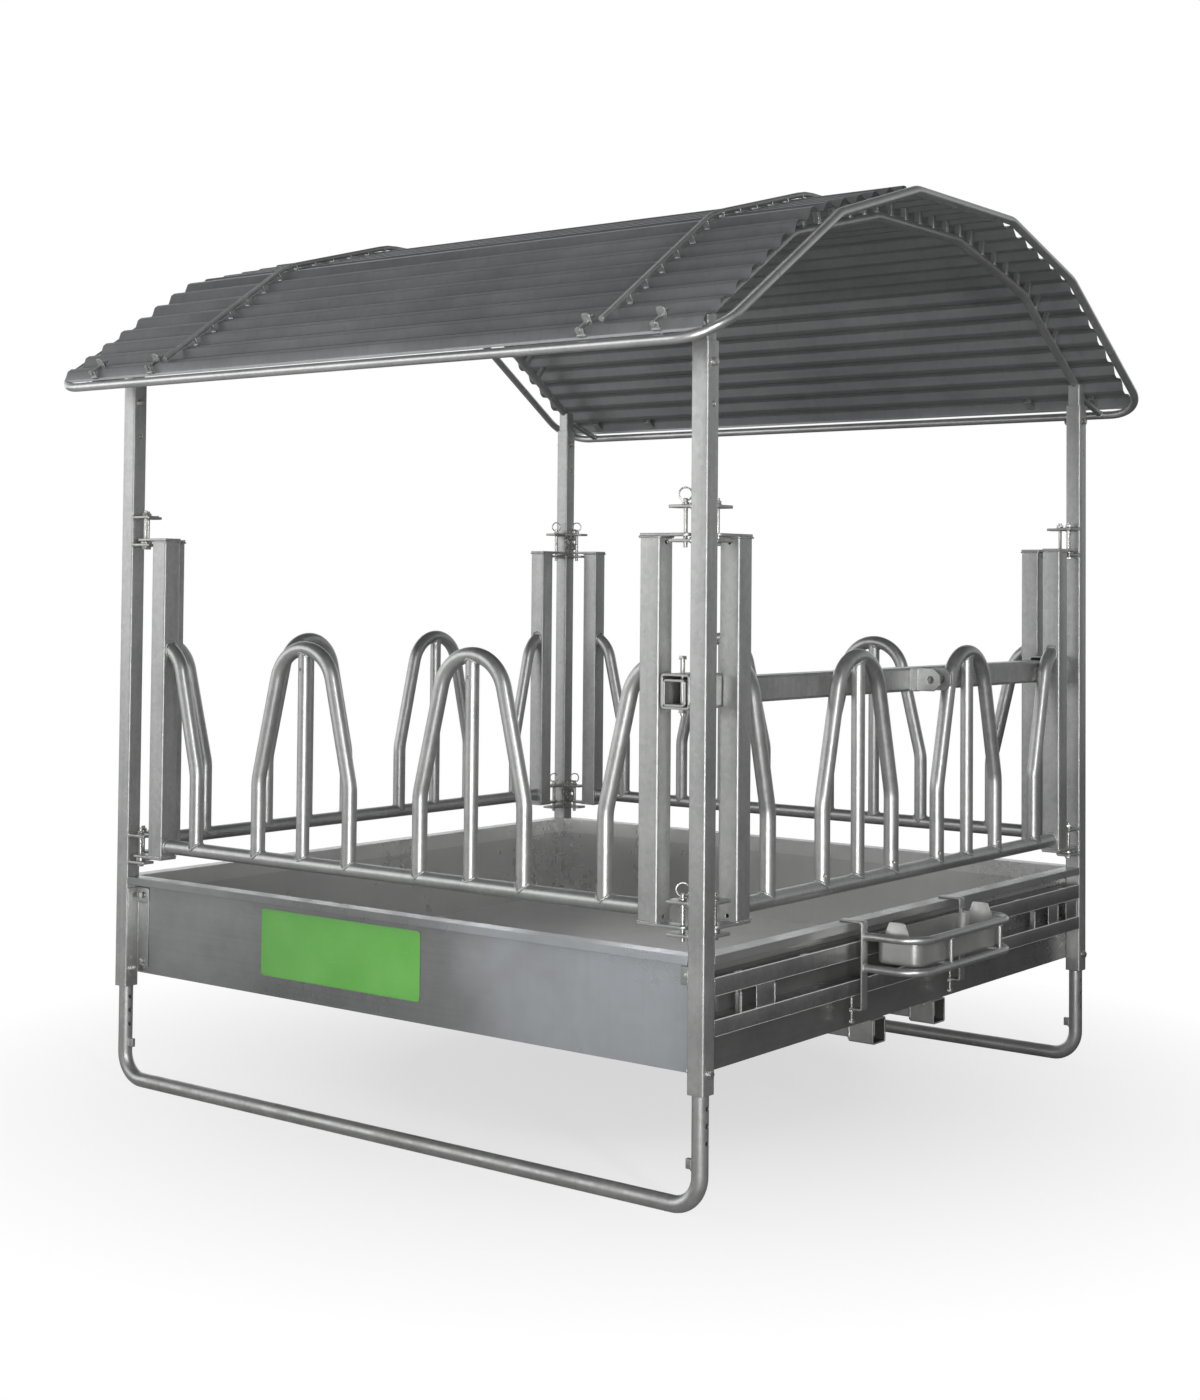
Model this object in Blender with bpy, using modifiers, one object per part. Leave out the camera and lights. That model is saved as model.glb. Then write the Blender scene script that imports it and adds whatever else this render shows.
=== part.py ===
"""Square bale feeder: hoop gates on four corner posts over a sheet tray, with an arched roof."""

import math

import bmesh
import bpy
from mathutils import Matrix, Vector

ASSEMBLY_NAME = "square_bale_feeder"

# Fits shared by the whole feeder.
FIT_GAP = 0.0003
EMBED = 0.0015
WELD_DISTANCE = 0.00005

# Corner posts. The frame width is measured over the outer post faces.
FRAME_WIDTH = 2.200
POST_SIZE = 0.050
POST_WALL = 0.003
POST_BOTTOM = 0.300
POST_TOP = 2.125
OUTER_FACE = FRAME_WIDTH / 2.0
POST_CENTER = OUTER_FACE - POST_SIZE / 2.0
POST_INNER_FACE = OUTER_FACE - POST_SIZE

# Skids that carry the posts.
TUBE_RADIUS = 0.0212
TUBE_WALL = 0.0026
TUBE_SIDES = 12
FACET_UP = math.pi / TUBE_SIDES
SKID_HEIGHT = TUBE_RADIUS
SKID_BEND = 0.080
SKID_LEG_TOP = 0.600
SKID_HOLE_LOW = 0.184
SKID_HOLE_PITCH = 0.042
SKID_HOLES = 5
SKID_HOLE_RADIUS = 0.0065
SKID_STOP_TOP = 0.140

# Feed tray.
SHEET = 0.0025
TRAY_BOTTOM = 0.340
TRAY_TOP = 0.635
TRAY_WALL_OUT = POST_INNER_FACE + SHEET
TRAY_RIM_OUT = 1.0985
TRAY_LIP = 0.022
STRIP_WIDTH = 0.050
STRIP_THICKNESS = 0.003
STRIP_LOW = 0.360
PAD_LOW = 0.555
STRIP_TOP = 0.601

# Rails along the right side of the tray.
RAIL_DEPTH_IN = TRAY_WALL_OUT + FIT_GAP
RAIL_DEPTH_OUT = 1.0985
RAIL_WALL = 0.003
UPPER_RAIL = (0.536, 0.582)
LOWER_RAIL = (0.437, 0.479)

# Fork pockets under the floor.
POCKET_SIZE = 0.070
POCKET_WALL = 0.004
POCKET_OFFSET = 0.175
POCKET_LENGTH = 2.160

# Fences. Positions run along each fence from its middle.
FENCE_DEPTH = 1.070
FENCE_POST = 0.060
FENCE_POST_WALL = 0.003
FENCE_POST_INNER = 0.896
FENCE_POST_OUTER = FENCE_POST_INNER + FENCE_POST
FENCE_BOTTOM = 0.705
FENCE_TOP = 1.665
FENCE_PLATE = 0.008
FENCE_PLATE_LAP = 0.001
FENCE_RAIL_HEIGHT = 0.737
PIN_ALONG = 1.018
PIN_DEPTH = POST_CENTER
TONGUE_RADIUS = 0.022
PIN_RADIUS = 0.006
PIN_HOLE = 0.0068
HALF_HOOP_PAST = 0.061
HOOP_PITCH = (FENCE_POST_INNER + HALF_HOOP_PAST) / 1.5
HOOP_LEG = 0.185
HOOP_KNEE = 0.965
HOOP_ARCH_HEIGHT = 1.237
HOOP_ARCH_RADIUS = 0.115
MIDDLE_BAR_RADIUS = 0.019
HOOP_SIDES = 10

# Hinge and latch lugs on the corner posts: lower and upper pair of each set.
LUG_THICKNESS = 0.008
LUG_LENGTH = 0.070
LUG_WIDTH = POST_SIZE - 2.0 * EMBED - 0.001
LUG_LEVELS = (0.677, 0.758, 1.650, 1.735)

# Hitch bar across the right side.
HITCH_SOCKET = 0.088
HITCH_WALL = 0.006
HITCH_BAR = 0.068
HITCH_SOCKET_CENTER_X = POST_INNER_FACE + EMBED - HITCH_SOCKET / 2.0
HITCH_HEIGHT = 1.280
HITCH_SOCKET_LENGTH = 0.140
HITCH_BOLT_RADIUS = 0.006
HITCH_BOLT_HOLE = 0.0066

# Roof frame. Roof points are (distance from the ridge line, height).
ROOF_TUBE = 0.0135
ROOF_TUBE_WALL = 0.0025
ROOF_SIDES = 8
EAVE = (1.270, 2.130)
RIM_KNEE = (0.700, 2.505)
RIM_CROWN = (0.290, 2.630)
RIM_END = 1.230
RIM_CORNER = 0.120
SLEEVE_AT = 1.000
SPIGOT_LENGTH = 0.040
INNER_KNEE = (0.680, 2.472)
INNER_CROWN = (0.240, 2.582)
ROOF_LEG = 0.040
ROOF_LEG_WALL = 0.003
ROOF_LEG_TOP = 2.215
ROOF_REST_HEIGHT = 1.990
ROOF_REST_RADIUS = 0.006
BRACE_RADIUS = 0.010
BRACE_DROP = 0.029

# Corrugated sheets.
SHEET_CROWN = (0.300, 2.646)
SHEET_KNEE = (0.765, 2.520)
SHEET_EAVE = (1.262, 2.1733)
RIB_PITCH = 0.0824
RIB_FLAT = 0.016
RIB_DEPTH = 0.018
ROOF_SHEET = 0.001
SHEET_HALF_LENGTH = 1.190
SHEET_LAP_LIFT = 0.0018
RIBS_TO_EAVE = 17
RIBS_TO_LAP = 4
HOLD_DOWN_RADIUS = 0.008
HOLD_DOWN_CLEARANCE = 0.0006
HOLD_DOWN_REACH = 1.305
HOLD_DOWN_PLACES = (-0.740, 0.880)
FOOT_SIZE = (0.012, 0.018)
FEET_EACH_SIDE = 12

# Lick holder on the right side rails.
LICK_FRONT = -0.376
LICK_REAR = 0.185
LICK_BAR = (0.030, 0.005)
LICK_BACK = RAIL_DEPTH_OUT + 0.0295
LICK_HOOK_REACH = 0.072
LICK_LOWER_START = LICK_BACK - 0.040
LICK_LOWER_TOP = 0.405
LICK_SCREW_INSET = 0.0124
LICK_LOOP_RADIUS = 0.011
LICK_REACH = 0.167
LICK_LOOP_OUT = LICK_BACK + LICK_REACH
LICK_LOOP_HEIGHTS = (0.515, 0.600)
LICK_BEND = LICK_REACH - 0.087
LICK_SUPPORTS = (-0.200, 0.090)
BIN_CLEARANCE = 0.009
BIN_X = (LICK_BACK + BIN_CLEARANCE, LICK_LOOP_OUT - LICK_LOOP_RADIUS - BIN_CLEARANCE - 0.003)
BIN_Y = (-0.340, 0.150)
BIN_CORNER = 0.030
BIN_TOP = 0.604
BIN_EAR_TOP = 0.640
BIN_WALL = 0.002

# The origin stands under the middle of the whole feeder, lick holder included.
CENTER_SHIFT = (LICK_LOOP_OUT + LICK_LOOP_RADIUS - RIM_END - ROOF_TUBE) / 2.0
CENTERED = Matrix.Translation((-CENTER_SHIFT, 0.0, 0.0))

# Direction changes: which way each profile is pushed out.
ALONG_X = Matrix(((0, 0, 1, 0), (1, 0, 0, 0), (0, 1, 0, 0), (0, 0, 0, 1)))
ALONG_Y = Matrix(((1, 0, 0, 0), (0, 0, -1, 0), (0, 1, 0, 0), (0, 0, 0, 1)))
UPRIGHT = Matrix.Identity(4)


def clear_scene():
    """Remove what the scene holds and make the two collections."""
    for leftover in list(bpy.data.objects):
        bpy.data.objects.remove(leftover)
    parts = bpy.data.collections.new(ASSEMBLY_NAME)
    cutters = bpy.data.collections.new("cutters")
    bpy.context.scene.collection.children.link(parts)
    bpy.context.scene.collection.children.link(cutters)
    cutters.hide_render = True
    return parts, cutters


def metal(name, color, roughness):
    """Make one plain metal material."""
    material = bpy.data.materials.new(name)
    material.use_nodes = True
    shader = material.node_tree.nodes["Principled BSDF"]
    shader.inputs["Base Color"].default_value = (*color, 1.0)
    shader.inputs["Metallic"].default_value = 1.0
    shader.inputs["Roughness"].default_value = roughness
    return material


PARTS, CUTTERS = clear_scene()
GALVANISED_TUBE = metal("galvanised_tube", (0.58, 0.59, 0.60), 0.42)
GALVANISED_SHEET = metal("galvanised_sheet", (0.46, 0.48, 0.49), 0.38)
ROOF_STEEL = metal("roof_sheet", (0.36, 0.37, 0.39), 0.45)
PLATED_STEEL = metal("plated_fastener", (0.66, 0.66, 0.64), 0.30)


def new_object(name, mesh, collection, where=UPRIGHT):
    """Place a mesh as an object."""
    made = bpy.data.objects.new(name, mesh)
    collection.objects.link(made)
    made.matrix_world = CENTERED @ where
    return made


def piece(name, mesh, material, where=UPRIGHT):
    """Place a mesh as one finished piece of the feeder."""
    made = new_object(name, mesh, PARTS, where)
    mesh.materials.clear()
    mesh.materials.append(material)
    return made


def operand(name, mesh, where=UPRIGHT):
    """Place a mesh that only shapes another piece."""
    made = new_object(name, mesh, CUTTERS, where)
    made.display_type = "WIRE"
    made.hide_render = True
    return made


def combine(target, other, operation):
    """Add or take away one shape from a piece."""
    step = target.modifiers.new(other.name, "BOOLEAN")
    step.operation = operation
    step.solver = "EXACT"
    step.object = other


def weld_on(target, name, mesh, where=UPRIGHT):
    """Fuse a shape to a piece."""
    combine(target, operand(name, mesh, where), "UNION")


def cut_out(target, name, mesh, where=UPRIGHT):
    """Cut a shape out of a piece."""
    combine(target, operand(name, mesh, where), "DIFFERENCE")


def curve_to_mesh(name, curve, closed):
    """Turn a curve into a welded mesh."""
    holder = bpy.data.objects.new(name + "_curve", curve)
    bpy.context.scene.collection.objects.link(holder)
    bpy.context.view_layer.update()
    shaped = holder.evaluated_get(bpy.context.evaluated_depsgraph_get())
    mesh = bpy.data.meshes.new_from_object(shaped)
    bpy.data.objects.remove(holder)
    mesh.name = name
    shell = bmesh.new()
    shell.from_mesh(mesh)
    bmesh.ops.remove_doubles(shell, verts=shell.verts, dist=WELD_DISTANCE)
    if closed:
        bmesh.ops.recalc_face_normals(shell, faces=shell.faces)
    shell.to_mesh(mesh)
    shell.free()
    return mesh


def add_spline(curve, points, cyclic, tilt=0.0):
    """Add one straight-sided line through the points."""
    line = curve.splines.new("POLY")
    line.points.add(len(points) - 1)
    for knot, point in zip(line.points, points):
        knot.co = (point[0], point[1], point[2] if len(point) > 2 else 0.0, 1.0)
        knot.tilt = tilt
    line.use_cyclic_u = cyclic


def tube(name, points, radius, sides=TUBE_SIDES, capped=True, cyclic=False, tilt=0.0):
    """Sweep a round tube or bar along the points."""
    curve = bpy.data.curves.new(name, "CURVE")
    curve.dimensions = "3D"
    curve.bevel_depth = radius
    curve.bevel_resolution = (sides - 4) // 2
    curve.use_fill_caps = capped
    add_spline(curve, points, cyclic, tilt)
    return curve_to_mesh(name, curve, capped or cyclic)


def hollow(target, wall):
    """Give an open tube or sheet its wall."""
    skin = target.modifiers.new("wall", "SOLIDIFY")
    skin.thickness = wall
    skin.offset = -1.0
    skin.use_even_offset = True


def profile(name, outlines, length):
    """Push closed outlines out to a bar of the given length, centred on the outline plane."""
    curve = bpy.data.curves.new(name, "CURVE")
    curve.dimensions = "2D"
    curve.fill_mode = "BOTH"
    curve.extrude = length / 2.0
    for outline in outlines:
        add_spline(curve, outline, True)
    return curve_to_mesh(name, curve, True)


def boxes(name, blocks):
    """Make blocks that do not touch each other as one mesh; each is (center, size)."""
    shell = bmesh.new()
    for center, size in blocks:
        place = Matrix.Translation(center) @ Matrix.Diagonal((*size, 1.0))
        bmesh.ops.create_cube(shell, size=1.0, matrix=place)
    return finish(name, shell)


def rods(name, bars, sides=8):
    """Make round bars that do not touch each other; each is (start, end, radius)."""
    shell = bmesh.new()
    for start, end, radius in bars:
        axis = Vector(end) - Vector(start)
        spin = axis.to_track_quat("Z", "Y").to_matrix().to_4x4()
        place = Matrix.Translation((Vector(start) + Vector(end)) / 2.0) @ spin
        bmesh.ops.create_cone(
            shell,
            cap_ends=True,
            segments=sides,
            radius1=radius,
            radius2=radius,
            depth=axis.length,
            matrix=place,
        )
    return finish(name, shell)


def finish(name, shell):
    """Write a built shell to a mesh."""
    mesh = bpy.data.meshes.new(name)
    shell.to_mesh(mesh)
    shell.free()
    return mesh


def rounded_path(corners, radius, steps):
    """Replace the inner corners of a path by arcs."""
    path = [Vector(corners[0])]
    for before, corner, after in zip(corners, corners[1:], corners[2:]):
        arrive = (Vector(corner) - Vector(before)).normalized()
        leave = (Vector(after) - Vector(corner)).normalized()
        turn = arrive.angle(leave)
        start = Vector(corner) - arrive * radius * math.tan(turn / 2.0)
        center = Vector(corner) + (leave - arrive).normalized() * radius / math.cos(turn / 2.0)
        axis = arrive.cross(leave).normalized()
        for step in range(steps + 1):
            spoke = Matrix.Rotation(turn * step / steps, 3, axis) @ (start - center)
            path.append(center + spoke)
    path.append(Vector(corners[-1]))
    return path


def rectangle(width, height, radius=0.0, steps=1, center=(0.0, 0.0)):
    """Outline of a rectangle with rounded corners."""
    half_w = width / 2.0 - radius
    half_h = height / 2.0 - radius
    outline = []
    for number, (side_x, side_y) in enumerate(((1, 1), (-1, 1), (-1, -1), (1, -1))):
        count = steps if radius else 0
        for step in range(count + 1):
            angle = math.pi / 2.0 * (number + (step / count if count else 0.0))
            x = center[0] + side_x * half_w + radius * math.cos(angle)
            y = center[1] + side_y * half_h + radius * math.sin(angle)
            outline.append((x, y))
    return outline


def folded(points, thickness):
    """Outline of a folded strip lying to the left of the given line."""
    line = [Vector(point) for point in points]
    inner = []
    for number, point in enumerate(line):
        before = (point - line[number - 1]).normalized() if number else None
        after = (line[number + 1] - point).normalized() if number + 1 < len(line) else None
        first = before or after
        second = after or before
        normal_a = Vector((-first.y, first.x))
        normal_b = Vector((-second.y, second.x))
        bisector = (normal_a + normal_b).normalized()
        inner.append(point + bisector * thickness / bisector.dot(normal_a))
    return [tuple(point) for point in line + inner[::-1]]


def square_tube(name, size, wall, length, corner):
    """Square tube standing on the outline plane's normal, centred."""
    outside = rectangle(size, size, corner)
    inside = rectangle(size - 2.0 * wall, size - 2.0 * wall)
    return profile(name, (outside, inside), length)


def turned(quarter):
    """Turn about the feeder's upright axis by quarter turns."""
    return Matrix.Rotation(quarter * math.pi / 2.0, 4, "Z")


def build_corner_post(name, quarter, latches, strips, socket_side):
    """Build one corner post in the front right corner and turn it to its place.

    Side 0 faces the fence on the left of the corner, side 1 the fence on its right.
    """
    turn = turned(quarter)
    height = POST_TOP - POST_BOTTOM
    upright = Matrix.Translation((POST_CENTER, -POST_CENTER, (POST_TOP + POST_BOTTOM) / 2.0))
    mesh = square_tube(name, POST_SIZE, POST_WALL, height, 0.004)
    post = piece(name, mesh, GALVANISED_TUBE, turn @ upright)

    reach = LUG_LENGTH + EMBED
    middle = POST_INNER_FACE + EMBED - reach / 2.0
    lugs = []
    for level in LUG_LEVELS:
        z = level + LUG_THICKNESS / 2.0
        lugs.append(((middle, -POST_CENTER, z), (reach, LUG_WIDTH, LUG_THICKNESS)))
        lugs.append(((POST_CENTER, -middle, z), (LUG_WIDTH, reach, LUG_THICKNESS)))
    weld_on(post, name + "_lugs", boxes(name + "_lugs", lugs), turn)

    pins = ((PIN_ALONG, -PIN_DEPTH), (PIN_DEPTH, -PIN_ALONG))
    holes = []
    bolts = []
    collars = []
    heads = []
    for side, (x, y) in enumerate(pins):
        for low, high in (LUG_LEVELS[:2], LUG_LEVELS[2:]):
            if side in latches:
                for level in (low, high):
                    start = (x, y, level - 0.005)
                    holes.append((start, (x, y, level + LUG_THICKNESS + 0.005), PIN_HOLE))
                continue
            bolts.append(((x, y, low - 0.008), (x, y, high + LUG_THICKNESS + 0.010), PIN_RADIUS))
            plate_low = FENCE_BOTTOM - FENCE_PLATE if low == LUG_LEVELS[0] else FENCE_TOP - FENCE_PLATE_LAP
            collar_top = plate_low - FIT_GAP
            collars.append(((x, y, low + LUG_THICKNESS - 0.001), (x, y, collar_top), 0.014))
            head_low = high + LUG_THICKNESS - 0.001
            heads.append(((x, y, head_low), (x, y, head_low + 0.008), 0.0105))
    if bolts:
        weld_on(post, name + "_bolts", rods(name + "_bolts", bolts), turn)
        weld_on(post, name + "_collars", rods(name + "_collars", collars), turn)
        weld_on(post, name + "_heads", rods(name + "_heads", heads, 6), turn)
    if holes:
        cut_out(post, name + "_pin_holes", rods(name + "_pin_holes", holes), turn)

    blocks = []
    strip_depth = TRAY_WALL_OUT + FIT_GAP + STRIP_THICKNESS / 2.0
    strip_length = STRIP_WIDTH + EMBED
    along = POST_INNER_FACE + EMBED - strip_length / 2.0
    pad_depth = strip_depth + STRIP_THICKNESS - 0.0005
    pads = []
    angles = []
    angle_depth = (OUTER_FACE - STRIP_THICKNESS + TRAY_WALL_OUT + FIT_GAP) / 2.0
    angle_width = OUTER_FACE - STRIP_THICKNESS - TRAY_WALL_OUT - FIT_GAP
    angle_along = POST_INNER_FACE + EMBED - STRIP_THICKNESS / 2.0 - EMBED / 2.0
    pad_size = STRIP_TOP - PAD_LOW
    for side, low in strips:
        height = STRIP_TOP - low
        z = (STRIP_TOP + low) / 2.0
        strip = ((along, -strip_depth, z), (strip_length, STRIP_THICKNESS, height))
        pad = ((along - 0.0015, -pad_depth, STRIP_TOP - pad_size / 2.0), (pad_size, STRIP_THICKNESS, pad_size))
        angle = ((angle_along, -angle_depth, z), (STRIP_THICKNESS + EMBED, angle_width, height))
        if side == 1:
            strip = ((strip_depth, -along, z), (STRIP_THICKNESS, strip_length, height))
            pad = ((pad_depth, -along + 0.0015, STRIP_TOP - pad_size / 2.0), (STRIP_THICKNESS, pad_size, pad_size))
            angle = ((angle_depth, -angle_along, z), (angle_width, STRIP_THICKNESS + EMBED, height))
        blocks.append(strip)
        pads.append(pad)
        angles.append(angle)
    if blocks:
        weld_on(post, name + "_strips", boxes(name + "_strips", blocks), turn)
        weld_on(post, name + "_pads", boxes(name + "_pads", pads), turn)
        weld_on(post, name + "_angles", boxes(name + "_angles", angles), turn)

    rest_reach = POST_SIZE / 2.0 - EMBED
    rest_start = (POST_CENTER - rest_reach, -POST_CENTER, ROOF_REST_HEIGHT)
    rest_end = (POST_CENTER + rest_reach, -POST_CENTER, ROOF_REST_HEIGHT)
    rest = rods(name + "_roof_rest", [(rest_start, rest_end, ROOF_REST_RADIUS)])
    weld_on(post, name + "_roof_rest", rest, turn)

    if socket_side:
        middle_y = OUTER_FACE - HITCH_SOCKET_LENGTH / 2.0
        socket = square_tube(name + "_socket", HITCH_SOCKET, HITCH_WALL, HITCH_SOCKET_LENGTH, 0.008)
        place = Matrix.Translation((HITCH_SOCKET_CENTER_X, socket_side * middle_y, HITCH_HEIGHT))
        weld_on(post, name + "_socket", socket, place @ ALONG_Y)
        bolt_hole = hitch_bolt_rod(name + "_bolt_hole", socket_side, HITCH_BOLT_HOLE)
        cut_out(post, name + "_bolt_hole", bolt_hole)
    return post


def hitch_bar_center_x():
    """The bar stands against the inner wall of its sockets."""
    socket_left = HITCH_SOCKET_CENTER_X - HITCH_SOCKET / 2.0 + HITCH_WALL
    return socket_left + FIT_GAP + HITCH_BAR / 2.0


def hitch_bar_height():
    """The bar lies on the floor of its sockets."""
    return HITCH_HEIGHT - HITCH_SOCKET / 2.0 + HITCH_WALL + FIT_GAP + HITCH_BAR / 2.0


def hitch_bolt_rod(name, side, radius):
    """Upright rod through a socket and the bar."""
    x = hitch_bar_center_x() - 0.010
    y = side * (OUTER_FACE - 0.052)
    low = (x, y, HITCH_HEIGHT - HITCH_SOCKET / 2.0 - 0.018)
    return rods(name, [(low, (x, y, HITCH_HEIGHT + HITCH_SOCKET / 2.0 + 0.036), radius)])


def build_corner_posts():
    """Build the four posts; latch sides and strips differ from corner to corner."""
    short = (0, PAD_LOW)
    left = (0, STRIP_LOW)
    right = (1, STRIP_LOW)
    build_corner_post("corner_post_front_right", 0, (0,), (short,), -1)
    build_corner_post("corner_post_rear_right", 1, (), (right,), 1)
    build_corner_post("corner_post_rear_left", 2, (0, 1), (left, right), 0)
    build_corner_post("corner_post_front_left", 3, (), (left, right), 0)


def build_skid(name, y):
    """Build one bent skid whose legs slide in the posts."""
    corners = (
        (-POST_CENTER, y, SKID_LEG_TOP),
        (-POST_CENTER, y, SKID_HEIGHT),
        (POST_CENTER, y, SKID_HEIGHT),
        (POST_CENTER, y, SKID_LEG_TOP),
    )
    path = rounded_path(corners, SKID_BEND, 4)
    mesh = tube(name, path, TUBE_RADIUS, capped=False)
    skid = piece(name, mesh, GALVANISED_TUBE)
    hollow(skid, TUBE_WALL)
    stops = []
    holes = []
    for side in (-1, 1):
        stop_x = side * (POST_CENTER - TUBE_RADIUS - 0.008)
        stops.append(((stop_x, y, SKID_STOP_TOP - 0.0125), (0.020, 0.012, 0.025)))
        for number in range(SKID_HOLES):
            z = SKID_HOLE_LOW + number * SKID_HOLE_PITCH
            start = (side * POST_CENTER - 0.030, y, z)
            holes.append((start, (side * POST_CENTER + 0.030, y, z), SKID_HOLE_RADIUS))
    weld_on(skid, name + "_stops", boxes(name + "_stops", stops))
    cut_out(skid, name + "_holes", rods(name + "_holes", holes, 6))


def build_tray():
    """Build the floor sheet and the four folded side panels."""
    edge = TRAY_WALL_OUT - SHEET - FIT_GAP
    notch = POST_INNER_FACE - FIT_GAP
    outline = rectangle(2.0 * min(edge, notch), 2.0 * min(edge, notch))
    level = TRAY_BOTTOM + SHEET + FIT_GAP + SHEET / 2.0
    floor = profile("tray_floor", (outline,), SHEET)
    piece("tray_floor", floor, GALVANISED_SHEET, Matrix.Translation((0.0, 0.0, level)))

    wall_in = TRAY_WALL_OUT - SHEET
    line = (
        (POST_INNER_FACE, TRAY_BOTTOM),
        (TRAY_WALL_OUT, TRAY_BOTTOM),
        (TRAY_WALL_OUT, TRAY_TOP - SHEET),
        (TRAY_RIM_OUT - SHEET, TRAY_TOP - SHEET),
        (TRAY_RIM_OUT - SHEET, TRAY_TOP - TRAY_LIP),
        (TRAY_RIM_OUT, TRAY_TOP - TRAY_LIP),
        (TRAY_RIM_OUT, TRAY_TOP),
        (wall_in, TRAY_TOP),
        (wall_in, TRAY_BOTTOM + SHEET),
        (POST_INNER_FACE, TRAY_BOTTOM + SHEET),
    )
    for quarter, side in enumerate(("right", "rear", "left", "front")):
        name = "tray_panel_" + side
        panel = profile(name, (line,), 2.0 * notch)
        piece(name, panel, GALVANISED_SHEET, turned(quarter) @ ALONG_Y)


def build_side_rails():
    """Build the two channel rails and the cover plates between them."""
    length = 2.0 * (POST_INNER_FACE - FIT_GAP)
    for name, (low, high) in (("side_rail_upper", UPPER_RAIL), ("side_rail_lower", LOWER_RAIL)):
        line = (
            (RAIL_DEPTH_IN, low),
            (RAIL_DEPTH_OUT, low),
            (RAIL_DEPTH_OUT, high),
            (RAIL_DEPTH_IN, high),
        )
        rail = piece(name, profile(name, (folded(line, RAIL_WALL),), length), GALVANISED_TUBE, ALONG_Y)
    low = LOWER_RAIL[1] - 0.001
    high = UPPER_RAIL[0] - FIT_GAP
    blocks = []
    for start, end, inset in ((-0.933, -0.927, 0.003), (-0.860, -0.775, 0.002), (-0.470, -0.343, 0.004),
                              (0.270, 0.300, 0.004), (0.725, 0.731, 0.003), (0.830, 0.900, 0.004),
                              (0.955, 1.035, 0.002)):
        outer = RAIL_DEPTH_OUT - inset
        depth = 0.015 if end - start < 0.010 else RAIL_WALL
        center = (outer - depth / 2.0, (start + end) / 2.0, (low + high) / 2.0)
        blocks.append((center, (depth, end - start, high - low)))
    weld_on(rail, "rail_covers", boxes("rail_covers", blocks))


def build_fork_pockets():
    """Build the two square tubes below the floor."""
    for name, y in (("fork_pocket_front", -POCKET_OFFSET), ("fork_pocket_rear", POCKET_OFFSET)):
        mesh = square_tube(name, POCKET_SIZE, POCKET_WALL, POCKET_LENGTH, 0.005)
        z = TRAY_BOTTOM - FIT_GAP - POCKET_SIZE / 2.0
        piece(name, mesh, GALVANISED_TUBE, Matrix.Translation((0.0, y, z)) @ ALONG_X)


def build_hitch():
    """Build the bar, its two bolts and the top link bracket."""
    x = hitch_bar_center_x()
    z = hitch_bar_height()
    mesh = square_tube("hitch_bar", HITCH_BAR, HITCH_WALL, FRAME_WIDTH, 0.007)
    bar = piece("hitch_bar", mesh, GALVANISED_TUBE, Matrix.Translation((x, 0.0, z)) @ ALONG_Y)
    for side, place in ((-1, "front"), (1, "rear")):
        name = "hitch_bolt_" + place
        cut_out(bar, name + "_bar_hole", hitch_bolt_rod(name + "_bar_hole", side, HITCH_BOLT_HOLE))
        bolt = piece(name, hitch_bolt_rod(name, side, HITCH_BOLT_RADIUS), PLATED_STEEL)
        bolt_x = x - 0.010
        bolt_y = side * (OUTER_FACE - 0.052)
        top = HITCH_HEIGHT + HITCH_SOCKET / 2.0
        low = HITCH_HEIGHT - HITCH_SOCKET / 2.0
        ends = [
            ((bolt_x, bolt_y, top + 0.034), (bolt_x, bolt_y, top + 0.043), 0.0115),
            ((bolt_x, bolt_y, low - FIT_GAP), (bolt_x, bolt_y, low - 0.0105), 0.0105),
        ]
        weld_on(bolt, name + "_ends", rods(name + "_ends", ends, 6))

    face = x + HITCH_BAR / 2.0
    back = ((face + FIT_GAP + 0.003, 0.095, z), (0.006, 0.130, 0.066))
    bracket = piece("top_link_bracket", boxes("top_link_bracket", [back]), PLATED_STEEL)
    ear = [(-0.002, -0.033), (0.050, -0.033), (0.070, -0.015), (0.070, 0.015), (0.050, 0.033), (-0.002, 0.033)]
    for number, ear_y in enumerate((0.068, 0.137)):
        name = "top_link_ear_" + str(number)
        place = Matrix.Translation((face + FIT_GAP + 0.006, ear_y, z)) @ ALONG_Y
        weld_on(bracket, name, profile(name, (ear,), 0.008), place)
    eye = (face + 0.048, 0.040, z)
    cut_out(bracket, "top_link_eyes", rods("top_link_eyes", [(eye, (face + 0.048, 0.165, z), 0.011)]))


def hoop_side(center, bottom):
    """Left half of a hoop's centre line: leg, knee and tangent point on the arch."""
    knee = Vector((-HOOP_LEG, HOOP_KNEE - HOOP_ARCH_HEIGHT))
    turn = math.atan2(knee.y, knee.x) - math.acos(HOOP_ARCH_RADIUS / knee.length)
    touch_x = HOOP_ARCH_RADIUS * math.cos(turn)
    touch_z = HOOP_ARCH_RADIUS * math.sin(turn)
    corners = (
        (center - HOOP_LEG, -FENCE_DEPTH, bottom),
        (center - HOOP_LEG, -FENCE_DEPTH, HOOP_KNEE),
        (center + touch_x, -FENCE_DEPTH, HOOP_ARCH_HEIGHT + touch_z),
    )
    return rounded_path(corners, 0.150, 1), turn % (2.0 * math.pi)


def arch_points(center, first, last, steps):
    """Points on a hoop's arch between two angles."""
    points = []
    for step in range(steps + 1):
        angle = first + (last - first) * step / steps
        x = center + HOOP_ARCH_RADIUS * math.cos(angle)
        z = HOOP_ARCH_HEIGHT + HOOP_ARCH_RADIUS * math.sin(angle)
        points.append(Vector((x, -FENCE_DEPTH, z)))
    return points


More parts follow.
